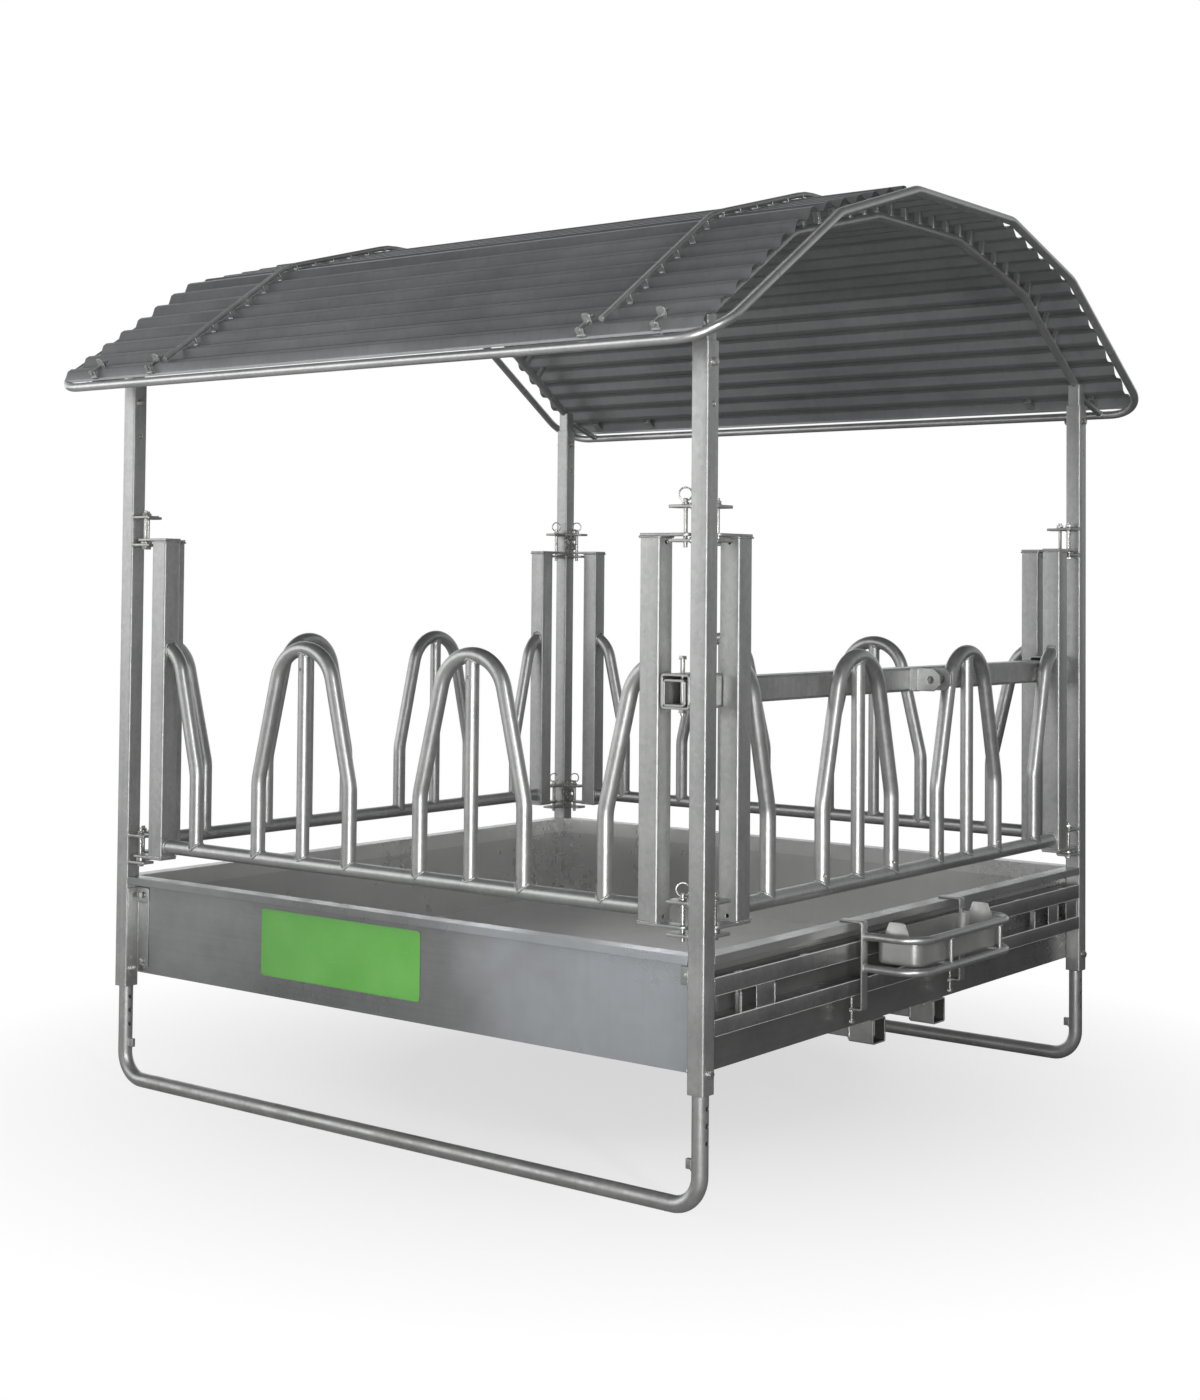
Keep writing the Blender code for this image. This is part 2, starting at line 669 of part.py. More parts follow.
def saddle(name):
    """The rail's outline with the gap that the hoops keep from it."""
    reach = FENCE_POST_INNER - 0.002
    line = ((-reach, -FENCE_DEPTH, FENCE_RAIL_HEIGHT), (reach, -FENCE_DEPTH, FENCE_RAIL_HEIGHT))
    return tube(name, line, TUBE_RADIUS + FIT_GAP * 1.1, tilt=FACET_UP)


def build_hoop(name, center, turn):
    """Build one hoop with its middle bar."""
    side, touch = hoop_side(center, FENCE_RAIL_HEIGHT)
    arch = arch_points(center, touch, math.pi - touch, 8)
    other = [Vector((2.0 * center - point.x, point.y, point.z)) for point in reversed(side)]
    path = side[:-1] + arch + other[1:]
    hoop = piece(name, tube(name, path, TUBE_RADIUS, HOOP_SIDES), GALVANISED_TUBE, turn)
    crown = HOOP_ARCH_HEIGHT + HOOP_ARCH_RADIUS
    bar = [((center, -FENCE_DEPTH, FENCE_RAIL_HEIGHT), (center, -FENCE_DEPTH, crown), MIDDLE_BAR_RADIUS)]
    weld_on(hoop, name + "_middle_bar", rods(name + "_middle_bar", bar, 10), turn)
    cut_out(hoop, name + "_saddle", saddle(name + "_saddle"), turn)
    return hoop


def fence_plate_outline(side):
    """End plate: as wide as the fence post, then a round tongue to the pin."""
    inner = FENCE_POST_INNER
    near = FENCE_DEPTH - FENCE_POST / 2.0
    far = FENCE_DEPTH + FENCE_POST / 2.0
    outline = [
        (inner, -near),
        (inner, -far),
        (FENCE_POST_OUTER, -far),
        (FENCE_POST_OUTER + 0.010, -PIN_DEPTH - TONGUE_RADIUS),
    ]
    for step in range(6):
        angle = -math.pi / 2.0 + math.pi * step / 5.0
        x = PIN_ALONG + TONGUE_RADIUS * math.cos(angle)
        outline.append((x, -PIN_DEPTH + TONGUE_RADIUS * math.sin(angle)))
    outline += [(FENCE_POST_OUTER + 0.010, -PIN_DEPTH + TONGUE_RADIUS), (FENCE_POST_OUTER, -near)]
    return [(side * x, y) for x, y in outline]


def build_fence_post(name, side, latch, turn):
    """Build one end post with its plates, half hoop and vent holes."""
    height = FENCE_TOP - FENCE_BOTTOM
    x = side * (FENCE_POST_INNER + FENCE_POST / 2.0)
    middle = Matrix.Translation((x, -FENCE_DEPTH, (FENCE_TOP + FENCE_BOTTOM) / 2.0))
    mesh = square_tube(name, FENCE_POST, FENCE_POST_WALL, height, 0.004)
    post = piece(name, mesh, GALVANISED_TUBE, turn @ middle)

    center = side * 1.5 * HOOP_PITCH
    path, touch = hoop_side(center, FENCE_RAIL_HEIGHT)
    reach = HALF_HOOP_PAST - 0.008
    last = math.acos(-reach / HOOP_ARCH_RADIUS)
    path = path[:-1] + arch_points(center, touch, last, 3)
    if side < 0:
        path = [Vector((2.0 * center - point.x, point.y, point.z)) for point in path]
    half = operand(name + "_half_hoop", tube(name + "_half_hoop", path, TUBE_RADIUS, HOOP_SIDES), turn)
    cut_out(half, name + "_half_saddle", saddle(name + "_half_saddle"), turn)
    trim = [((side * (FENCE_POST_INNER + EMBED + 0.050), -FENCE_DEPTH, 1.320), (0.100, 0.120, 0.300))]
    cut_out(half, name + "_half_trim", boxes(name + "_half_trim", trim), turn)
    combine(post, half, "UNION")

    plates = []
    for number, (level, away) in enumerate(((FENCE_BOTTOM, -1), (FENCE_TOP, 1))):
        outline = fence_plate_outline(side)
        plate = profile(name + "_plate_" + str(number), (outline,), FENCE_PLATE + FENCE_PLATE_LAP)
        z = level + away * (FENCE_PLATE - FENCE_PLATE_LAP) / 2.0
        weld_on(post, plate.name, plate, turn @ Matrix.Translation((0.0, 0.0, z)))
        plates.append(z)

    pin_x = side * PIN_ALONG
    bores = []
    slots = []
    for z in plates:
        bores.append(((pin_x, -PIN_DEPTH, z - 0.010), (pin_x, -PIN_DEPTH, z + 0.010), PIN_HOLE))
        slots.append(((pin_x, -PIN_DEPTH + 0.015, z), (2.0 * PIN_HOLE, 0.030, 0.020)))
    cut_out(post, name + "_bores", rods(name + "_bores", bores), turn)
    if latch:
        cut_out(post, name + "_slots", boxes(name + "_slots", slots), turn)
    vents = []
    for z in (FENCE_BOTTOM + 0.014, FENCE_TOP - 0.014):
        start = (side * (FENCE_POST_INNER + 0.040), -FENCE_DEPTH, z)
        vents.append((start, (side * (FENCE_POST_OUTER + 0.010), -FENCE_DEPTH, z), 0.005))
    cut_out(post, name + "_vents", rods(name + "_vents", vents, 6), turn)
    return post


def build_fence(name, quarter, latch_side, hinge_side):
    """Build one fence: two end posts, the rail and two hoops."""
    turn = turned(quarter)
    made = []
    for side, place in ((-1, "left"), (1, "right")):
        made.append(build_fence_post(name + "_post_" + place, side, side == latch_side, turn))
        made.append(build_hoop(name + "_hoop_" + place, side * HOOP_PITCH / 2.0, turn))
    reach = FENCE_POST_INNER - FIT_GAP
    line = ((-reach, -FENCE_DEPTH, FENCE_RAIL_HEIGHT), (reach, -FENCE_DEPTH, FENCE_RAIL_HEIGHT))
    rail_mesh = tube(name + "_rail", line, TUBE_RADIUS, capped=False, tilt=FACET_UP)
    rail = piece(name + "_rail", rail_mesh, GALVANISED_TUBE, turn)
    hollow(rail, TUBE_WALL)
    made.append(rail)
    if not hinge_side:
        return
    hinge = bpy.data.objects.new(name + "_hinge", None)
    PARTS.objects.link(hinge)
    foot = Matrix.Translation((hinge_side * PIN_ALONG, -PIN_DEPTH, FENCE_BOTTOM))
    hinge.matrix_world = CENTERED @ turn @ foot
    bpy.context.view_layer.update()
    for item in made:
        item.parent = hinge
        item.matrix_parent_inverse = hinge.matrix_world.inverted()


def build_fences():
    """Three fences swing as gates; the right one is bolted at both ends."""
    build_fence("front_gate", 0, 1, -1)
    build_fence("right_fence", 1, 0, 0)
    build_fence("rear_gate", 2, 1, -1)
    build_fence("left_gate", 3, -1, 1)


def build_latch_pins():
    """Build the six ringed pins that hold the latch ends of the gates."""
    places = (
        ("front", PIN_ALONG, -PIN_DEPTH),
        ("rear", -PIN_ALONG, PIN_DEPTH),
        ("left", -PIN_DEPTH, PIN_ALONG),
    )
    for gate, x, y in places:
        for level, low, high in (("lower", *LUG_LEVELS[:2]), ("upper", *LUG_LEVELS[2:])):
            name = "latch_pin_" + gate + "_" + level
            seat = high + LUG_THICKNESS + FIT_GAP
            shank = [((x, y, low - 0.013), (x, y, seat + 0.013), PIN_RADIUS)]
            pin = piece(name, rods(name, shank), PLATED_STEEL)
            collar = [((x, y, seat), (x, y, seat + 0.006), 0.010)]
            weld_on(pin, name + "_collar", rods(name + "_collar", collar))
            ring = []
            for step in range(10):
                angle = 2.0 * math.pi * step / 10.0
                sweep = 0.0165 * math.cos(angle)
                ring.append((x + sweep * 0.8, y + sweep * 0.6, seat + 0.025 + 0.0165 * math.sin(angle)))
            loop = tube(name + "_ring", ring, 0.0025, 6, capped=False, cyclic=True)
            weld_on(pin, name + "_ring", loop)


def build_rim():
    """Build the two eave tubes with their bent corners and the two end arches."""
    slope = (Vector(RIM_KNEE) - Vector(EAVE)).normalized()
    share = (SLEEVE_AT - EAVE[0]) / slope.x
    sleeve = Vector(EAVE) + slope * share
    for side, place in ((-1, "front"), (1, "rear")):
        name = "eave_tube_" + place
        corners = (
            (-RIM_END, side * sleeve.x, sleeve.y),
            (-RIM_END, side * EAVE[0], EAVE[1]),
            (RIM_END, side * EAVE[0], EAVE[1]),
            (RIM_END, side * sleeve.x, sleeve.y),
        )
        mesh = tube(name, rounded_path(corners, RIM_CORNER, 5), ROOF_TUBE, ROOF_SIDES, capped=False)
        hollow(piece(name, mesh, GALVANISED_TUBE), ROOF_TUBE_WALL)
    start = sleeve + slope * FIT_GAP
    spigot = sleeve - slope * SPIGOT_LENGTH
    for x, place in ((-RIM_END, "left"), (RIM_END, "right")):
        name = "end_arch_" + place
        half = [(x, -start.x, start.y), (x, -RIM_KNEE[0], RIM_KNEE[1]), (x, -RIM_CROWN[0], RIM_CROWN[1])]
        corners = half + [(x, -y, z) for _, y, z in reversed(half)]
        mesh = tube(name, rounded_path(corners, 0.120, 3), ROOF_TUBE, ROOF_SIDES)
        arch = piece(name, mesh, GALVANISED_TUBE)
        inner = start + slope * 0.010
        radius = ROOF_TUBE - ROOF_TUBE_WALL - FIT_GAP
        ends = [((x, side * inner.x, inner.y), (x, side * spigot.x, spigot.y), radius) for side in (-1, 1)]
        weld_on(arch, name + "_spigots", rods(name + "_spigots", ends))


def sheet_line():
    """Crest line of the corrugated roof from the front eave to the rear eave."""
    half = [(0.0, -SHEET_EAVE[0], SHEET_EAVE[1]), (0.0, -SHEET_KNEE[0], SHEET_KNEE[1])]
    half.append((0.0, -SHEET_CROWN[0], SHEET_CROWN[1]))
    corners = half + [(0.0, -y, z) for _, y, z in reversed(half)]
    return rounded_path(corners, 0.250, 6)


SHEET_PATH = sheet_line()


def on_roof(reach, lift=0.0):
    """Point at a signed distance from the ridge along the crest line, lifted off it."""
    total = sum((b - a).length for a, b in zip(SHEET_PATH, SHEET_PATH[1:]))
    left = total / 2.0 + reach
    for number, (start, end) in enumerate(zip(SHEET_PATH, SHEET_PATH[1:])):
        span = (end - start).length
        if left <= span or number == len(SHEET_PATH) - 2:
            ahead = (end - start) / span
            normal = Vector((0.0, -ahead.z, ahead.y))
            return start + ahead * left + normal * lift, normal
        left -= span


def corrugation(first, last, lift):
    """Top line of a sheet between two valleys counted from the ridge."""
    wall = RIB_PITCH / 2.0 - RIB_FLAT
    line = []
    for number in range(first, last + 1):
        valley = number * RIB_PITCH
        reaches = [(valley - RIB_FLAT / 2.0, -RIB_DEPTH), (valley + RIB_FLAT / 2.0, -RIB_DEPTH)]
        if number < last:
            crest = valley + RIB_FLAT / 2.0 + wall
            reaches += [(crest, 0.0), (crest + RIB_FLAT, 0.0)]
        for reach, drop in reaches:
            point, _ = on_roof(reach, drop + lift)
            line.append((point.y, point.z))
    return line


def build_roof_sheet(name, first, last, lift):
    """Build one corrugated sheet between two of its valleys."""
    curve = bpy.data.curves.new(name, "CURVE")
    curve.dimensions = "2D"
    curve.fill_mode = "NONE"
    curve.extrude = SHEET_HALF_LENGTH
    add_spline(curve, corrugation(first, last, lift), False)
    mesh = curve_to_mesh(name, curve, False)
    for face in mesh.polygons:
        if face.normal.y < 0.0:
            mesh.flip_normals()
            break
    hollow(piece(name, mesh, ROOF_STEEL, ALONG_X), ROOF_SHEET)


def build_roof_sheets():
    """Build the sheets; the top one laps over the two lower ones."""
    build_roof_sheet("roof_sheet_front", -RIBS_TO_EAVE + 1, -RIBS_TO_LAP, 0.0)
    build_roof_sheet("roof_sheet_top", -RIBS_TO_LAP - 1, RIBS_TO_LAP + 1, SHEET_LAP_LIFT)
    build_roof_sheet("roof_sheet_rear", RIBS_TO_LAP, RIBS_TO_EAVE - 1, 0.0)


def height_on(line, distance):
    """Height of a roof line at a distance from the ridge."""
    for (near, high), (far, low) in zip(line, line[1:]):
        if distance <= far:
            return high + (low - high) * (distance - near) / (far - near)
    return line[-1][1]


def build_inner_arch(name, x):
    """Build an arch with its legs, eave braces and the feet that carry the sheets."""
    start = (x, -POST_CENTER, ROOF_LEG_TOP - 0.012)
    half = [start, (x, -INNER_KNEE[0], INNER_KNEE[1]), (x, -INNER_CROWN[0], INNER_CROWN[1])]
    corners = half + [(px, -y, z) for px, y, z in reversed(half)]
    arch = piece(name, tube(name, rounded_path(corners, 0.120, 3), ROOF_TUBE, ROOF_SIDES), GALVANISED_TUBE)

    low = ROOF_REST_HEIGHT + ROOF_REST_RADIUS + FIT_GAP
    for side, place in ((-1, "front"), (1, "rear")):
        leg = square_tube(name + "_leg_" + place, ROOF_LEG, ROOF_LEG_WALL, ROOF_LEG_TOP - low, 0.004)
        middle = Matrix.Translation((x, side * POST_CENTER, (ROOF_LEG_TOP + low) / 2.0))
        weld_on(arch, name + "_leg_" + place, leg, middle)

    caps = []
    braces = []
    for side in (-1, 1):
        size = ROOF_LEG - 2.0 * ROOF_LEG_WALL + 0.002
        caps.append(((x, side * POST_CENTER, ROOF_LEG_TOP - 0.004), (size, size, 0.006)))
        inner = Vector((x, side * (POST_CENTER + ROOF_LEG / 2.0 - EMBED), ROOF_LEG_TOP - BRACE_DROP))
        outer = Vector((x, side * EAVE[0], EAVE[1]))
        away = (outer - inner).normalized()
        end = outer - away * (ROOF_TUBE + FIT_GAP)
        braces.append((inner, end, BRACE_RADIUS))
    weld_on(arch, name + "_caps", boxes(name + "_caps", caps))
    weld_on(arch, name + "_braces", rods(name + "_braces", braces))

    outline = [(0.0, INNER_CROWN[1]), INNER_CROWN, INNER_KNEE, (POST_CENTER, ROOF_LEG_TOP - 0.012)]
    shell = bmesh.new()
    for number in range(-FEET_EACH_SIDE, FEET_EACH_SIDE + 1):
        drop = -RIB_DEPTH - ROOF_SHEET - FIT_GAP
        if abs(number) <= RIBS_TO_LAP - 1:
            drop += SHEET_LAP_LIFT
        top, normal = on_roof(number * RIB_PITCH, drop)
        reach = 0.0
        while True:
            probe = top - normal * reach
            if probe.z <= height_on(outline, abs(probe.y)) or reach > 0.120:
                break
            reach += 0.001
        center = top - normal * reach / 2.0
        ahead = Vector((0.0, normal.z, -normal.y))
        spin = Matrix((Vector((1.0, 0.0, 0.0)), ahead, normal)).transposed().to_4x4()
        size = Matrix.Diagonal((FOOT_SIZE[1], FOOT_SIZE[0], reach, 1.0))
        place = Matrix.Translation((x, center.y, center.z)) @ spin @ size
        bmesh.ops.create_cube(shell, size=1.0, matrix=place)
    weld_on(arch, name + "_feet", finish(name + "_feet", shell))


def build_hold_down(name, x):
    """Build one bar that runs over the crests from eave to eave."""
    lift = SHEET_LAP_LIFT + HOLD_DOWN_CLEARANCE + HOLD_DOWN_RADIUS
    crown = SHEET_CROWN[0]
    knee = crown + (Vector(SHEET_KNEE) - Vector(SHEET_CROWN)).length
    reaches = [crown + 0.030 * step for step in (-1.5, -0.5, 0.5, 1.5)]
    reaches += [knee + 0.026 * step for step in (-2, -1, 0, 1, 2)]
    reaches.append(HOLD_DOWN_REACH)
    path = []
    for reach in [-reach for reach in reversed(reaches)] + reaches:
        point, _ = on_roof(reach, lift)
        path.append((x, point.y, point.z))
    piece(name, tube(name, path, HOLD_DOWN_RADIUS, 8), GALVANISED_TUBE)


def build_roof():
    """Build everything that lifts with the roof."""
    build_rim()
    for x, place in ((-POST_CENTER, "left"), (POST_CENTER, "right")):
        build_inner_arch("inner_arch_" + place, x)
    build_roof_sheets()
    for x, place in zip(HOLD_DOWN_PLACES, ("left", "right")):
        build_hold_down("hold_down_" + place, x)


def build_lick_holder():
    """Build the clamp frame, its bin and the two clamp screws."""
    width, thick = LICK_BAR
    top = TRAY_TOP + FIT_GAP
    line = (
        (LICK_BACK - LICK_HOOK_REACH, top),
        (LICK_BACK - thick, top),
        (LICK_BACK - thick, LICK_LOWER_TOP),
        (LICK_LOWER_START, LICK_LOWER_TOP),
        (LICK_LOWER_START, LICK_LOWER_TOP - thick),
        (LICK_BACK, LICK_LOWER_TOP - thick),
        (LICK_BACK, top + thick),
        (LICK_BACK - LICK_HOOK_REACH, top + thick),
    )
    name = "lick_holder_frame"
    place = Matrix.Translation((0.0, LICK_FRONT, 0.0)) @ ALONG_Y
    frame = piece(name, profile(name, (line,), width), GALVANISED_TUBE, place)
    second = profile(name + "_rear_bar", (line,), width)
    loops_start = LICK_BACK - 0.002
    for number, z in enumerate(LICK_LOOP_HEIGHTS):
        corners = (
            (loops_start, LICK_FRONT, z),
            (LICK_LOOP_OUT, LICK_FRONT, z),
            (LICK_LOOP_OUT, LICK_REAR, z),
            (loops_start, LICK_REAR, z),
        )
        path = rounded_path(corners, LICK_BEND, 4)
        loop = tube(name + "_loop_" + str(number), path, LICK_LOOP_RADIUS, 10)
        weld_on(frame, loop.name, loop)
    weld_on(frame, name + "_rear_bar", second, Matrix.Translation((0.0, LICK_REAR, 0.0)) @ ALONG_Y)
    posts = []
    floor_bars = []
    for y in LICK_SUPPORTS:
        posts.append(((LICK_LOOP_OUT, y, LICK_LOOP_HEIGHTS[0]), (LICK_LOOP_OUT, y, LICK_LOOP_HEIGHTS[1]), 0.006))
        low = LICK_LOOP_HEIGHTS[0] + LICK_LOOP_RADIUS - 0.006
        center = ((BIN_X[0] + LICK_LOOP_OUT) / 2.0, y, low + 0.003)
        floor_bars.append((center, (LICK_LOOP_OUT - BIN_X[0], 0.020, 0.006)))
    weld_on(frame, name + "_posts", rods(name + "_posts", posts, 8))
    weld_on(frame, name + "_floor_bars", boxes(name + "_floor_bars", floor_bars))

    low = LICK_LOOP_HEIGHTS[0] + LICK_LOOP_RADIUS + FIT_GAP
    build_lick_bin(low)

    for y, side in ((LICK_FRONT, "front"), (LICK_REAR, "rear")):
        name = "lick_clamp_" + side
        x = LICK_LOWER_START + LICK_SCREW_INSET
        hole = [((x, y, 0.390), (x, y, 0.415), 0.0046)]
        cut_out(frame, name + "_hole", rods(name + "_hole", hole))
        screw = piece(name, rods(name, [((x, y, 0.362), (x, y, LOWER_RAIL[0] - 0.0015), 0.004)]), PLATED_STEEL)
        knob = [((x, y, 0.357), (x, y, 0.364), 0.009)]
        weld_on(screw, name + "_head", rods(name + "_head", knob, 6))
        pad = [((x - 0.002, y, LOWER_RAIL[0] - 0.002 - FIT_GAP), (0.020, 0.020, 0.004))]
        weld_on(screw, name + "_pad", boxes(name + "_pad", pad))


def build_lick_bin(low):
    """Build the open bin with a raised ear at each end."""
    width = BIN_X[1] - BIN_X[0]
    length = BIN_Y[1] - BIN_Y[0]
    center = ((BIN_X[0] + BIN_X[1]) / 2.0, (BIN_Y[0] + BIN_Y[1]) / 2.0)
    height = BIN_TOP - low
    shell = profile("lick_bin", (rectangle(width, length, BIN_CORNER, 3),), height)
    bin_place = Matrix.Translation((center[0], center[1], low + height / 2.0))
    holder = piece("lick_bin", shell, GALVANISED_SHEET, bin_place)
    room = profile("lick_bin_room", (rectangle(width - 2 * BIN_WALL, length - 2 * BIN_WALL, BIN_CORNER - BIN_WALL, 3),), height)
    cut_out(holder, "lick_bin_room", room, Matrix.Translation((0.0, 0.0, BIN_WALL)) @ bin_place)
    ear_low = low + 0.010
    ear_height = BIN_EAR_TOP - ear_low
    half = width / 2.0 - BIN_CORNER - BIN_WALL
    ear = [(-half, 0.0), (half, 0.0), (half, ear_height - 0.015), (half - 0.015, ear_height)]
    ear += [(-half + 0.015, ear_height), (-half, ear_height - 0.015)]
    for number, y in enumerate((BIN_Y[0] + BIN_WALL, BIN_Y[1] - BIN_WALL)):
        name = "lick_bin_ear_" + str(number)
        place = Matrix.Translation((center[0], y, ear_low)) @ ALONG_Y
        weld_on(holder, name, profile(name, (ear,), BIN_WALL + 0.001), place)


def shade(made, angle=0.6):
    """Smooth the round faces and keep the real edges sharp."""
    for item in made:
        if item.type == "MESH":
            item.data.shade_smooth()
            item.data.set_sharp_from_angle(angle=angle)


def build_feeder():
    """Build every piece."""
    build_corner_posts()
    build_skid("skid_front", -POST_CENTER)
    build_skid("skid_rear", POST_CENTER)
    build_tray()
    build_side_rails()
    build_fork_pockets()
    build_hitch()
    build_fences()
    build_latch_pins()
    build_roof()
    build_lick_holder()
    shade(PARTS.objects)


build_feeder()
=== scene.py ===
"""Looks of the square bale feeder: zinc-coated tubes and sheets, welds, clips, pins and chains."""

import math
import random

import bmesh
import bpy
from mathutils import Matrix, Vector


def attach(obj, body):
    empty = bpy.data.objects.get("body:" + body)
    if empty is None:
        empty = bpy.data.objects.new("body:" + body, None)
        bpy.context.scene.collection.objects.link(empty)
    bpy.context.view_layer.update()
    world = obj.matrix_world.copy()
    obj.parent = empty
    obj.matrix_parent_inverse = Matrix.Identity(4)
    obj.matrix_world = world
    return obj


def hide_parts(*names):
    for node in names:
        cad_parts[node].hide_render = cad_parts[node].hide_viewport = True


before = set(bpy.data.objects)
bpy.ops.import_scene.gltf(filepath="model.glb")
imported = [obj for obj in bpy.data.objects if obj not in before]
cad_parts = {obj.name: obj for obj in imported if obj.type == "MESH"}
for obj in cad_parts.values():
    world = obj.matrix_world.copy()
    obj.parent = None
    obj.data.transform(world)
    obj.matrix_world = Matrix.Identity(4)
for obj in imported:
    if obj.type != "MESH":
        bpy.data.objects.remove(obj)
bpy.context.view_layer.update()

# Sizes in metres, the same as in the solids.
CENTER_SHIFT = 0.03125
OUTER_FACE = 1.100
POST_CENTER = 1.075
POST_INNER_FACE = 1.050
POST_ROOT = POST_INNER_FACE + 0.0015
POST_TUBE = 0.050
POST_BOTTOM = 0.300
POST_TOP = 2.148
POST_HEAD_BOLT = 2.095
SHEET_WALL = 0.003
SEAT_GAP = 0.0003
TUBE_RADIUS = 0.0212
TUBE_WALL = 0.0026
SKID_BEND = 0.080
SKID_LEG_TOP = 0.600
SKID_HOLES = [0.184 + 0.042 * number for number in range(5)]
SKID_STOP_TOP = 0.140
LOCK_BOLT = 0.352
TRAY_TOP = 0.635
TRAY_BOTTOM = 0.340
TRAY_WALL_OUT = 1.0525
STRIP_WIDTH = 0.0515
STRIP_LOW = 0.360
PAD_LOW = 0.555
STRIP_TOP = 0.601
SIGN_SIZE = (0.625, 0.193)
SIGN_PLACE = (-0.1875, 0.4935)
POCKET_END = 1.058
POCKET_PLACES = (("front", -0.175, 1500), ("rear", 0.175, 1520))
RAIL_OUT = 1.0985
UPPER_RAIL = (0.536, 0.582)
LOWER_RAIL = (0.437, 0.479)
# Plates between the rails: start, end, and how far they stand in from the rails' face.
RAIL_PLATES = ((-0.933, -0.927, 0.003), (-0.860, -0.775, 0.002), (0.270, 0.300, 0.004),
               (0.725, 0.731, 0.003), (0.830, 0.900, 0.004), (0.955, 1.035, 0.002))
FENCE_DEPTH = 1.070
FENCE_POST = 0.060
FENCE_POST_INNER = 0.896
FENCE_POST_OUTER = 0.956
FENCE_BOTTOM = 0.705
FENCE_TOP = 1.665
FENCE_PLATE = 0.008
LUG_PLATE = 0.008
RAIL_HEIGHT = 0.737
PIN_ALONG = 1.018
PIN_RADIUS = 0.006
PIN_HOLE = 0.0068
HOOP_PITCH = 0.638
HOOP_LEG = 0.185
HOOP_KNEE = 0.965
HOOP_BEND = 0.150
ARCH_HEIGHT = 1.237
ARCH_RADIUS = 0.115
MIDDLE_BAR = 0.019
LUG_LEVELS = (0.677, 0.758, 1.650, 1.735)
HITCH_HEIGHT = 1.280
HITCH_SOCKET = 0.088
HITCH_SOCKET_LENGTH = 0.140
HITCH_BAR_X = 1.0038
HITCH_BAR_Z = 1.2763
TOP_LINK_PLACE = 0.095
TOP_LINK_EARS = (0.068, 0.137)
EAVE = (1.270, 2.130)
RIM_KNEE = (0.700, 2.505)
RIM_CROWN = (0.290, 2.630)
RIM_END = 1.230
RIM_CORNER = 0.120
SLEEVE_AT = 1.000
ROOF_TUBE = 0.0135
ARCH_BEND = 0.120
RIM_TUBE = 0.0132
INNER_KNEE = (0.680, 2.472)
INNER_CROWN = (0.240, 2.582)
ROOF_LEG_TOP = 2.215
ROOF_LEG_LOW = 1.9963
ROOF_STOP_PIN = 1.990
SHEET_CROWN = (0.300, 2.646)
SHEET_KNEE = (0.765, 2.520)
SHEET_EAVE = (1.262, 2.1733)
RIB_PITCH = 0.0824
RIB_FLAT = 0.016
RIB_DEPTH = 0.018
ROOF_SHEET = 0.001
SHEET_HALF_LENGTH = 1.190
EDGE_DROP = 0.006
SHEET_LAP_LIFT = 0.0018
RIBS_TO_EAVE = 17
RIBS_TO_LAP = 4
FEET_EACH_SIDE = 12
HOLD_DOWN_RADIUS = 0.008
HOLD_DOWN_REACH = 1.360
EAVE_CLAMPS = (-1.045, -0.790, 0.828, 1.057)
EAVE_CLAMP_SEAT = (1.258, 2.1535)
HOLD_DOWN_PLACES = (("left", -0.740), ("right", 0.880))
LICK_FRONT = -0.376
LICK_REAR = 0.185
LICK_BACK = 1.128
LICK_LOOP_OUT = 1.295
LICK_LOOP_RADIUS = 0.011
LICK_LOOP_HEIGHTS = (0.515, 0.600)
LICK_STAYS = (-0.200, 0.090)
LICK_HOOK_LOW = (0.400, 0.405)
LICK_CLAMP = (0.362, 0.4355)
BIN_X = (1.137, 1.272)
BIN_Y = (-0.340, 0.150)
BIN_TOP = 0.604

# Hexagon heads and nuts: width across the flats, height, and radius of the washer.
HINGE_HEAD = (0.019, 0.007, 0.012)
POST_HEAD = (0.019, 0.008, 0.012)
POST_NUT = (0.019, 0.009, 0.012)
STRIP_HEAD = (0.017, 0.0065, 0.0105)
HITCH_HEAD = (0.019, 0.0072, 0.0105)
HITCH_NUT = (0.019, 0.0092, 0.012)
CLAMP_HEAD = (0.014, 0.005, 0.008)
CLAMP_NUT = (0.017, 0.008, 0.012)
LICK_HEAD = (0.015, 0.0075, 0.009)
LICK_NUT = (0.015, 0.006, 0.009)

# Edges sharper than this many radians stay sharp; weld beads are smooth all over.
SMOOTH_ANGLE = 0.62
WELD_ANGLE = 1.5

# Name, quarter turn, body, and the end that latches (0 for none).
FENCES = (
    ("front_gate", 0, "front_gate", 1),
    ("right_fence", 1, "frame", 0),
    ("rear_gate", 2, "rear_gate", 1),
    ("left_gate", 3, "left_gate", -1),
)
TO_ROW = Matrix.Translation((-CENTER_SHIFT, 0.0, 0.0))
ALONG_X = Matrix(((0, 0, 1, 0), (1, 0, 0, 0), (0, 1, 0, 0), (0, 0, 0, 1)))
ALONG_Y = Matrix(((1, 0, 0, 0), (0, 0, -1, 0), (0, 1, 0, 0), (0, 0, 0, 1)))
UPRIGHT = Matrix.Identity(4)


def turned(quarter):
    """Turn about the feeder's upright axis by quarter turns."""
    return Matrix.Rotation(quarter * math.pi / 2.0, 4, "Z")


# ---- shader groups -------------------------------------------------------


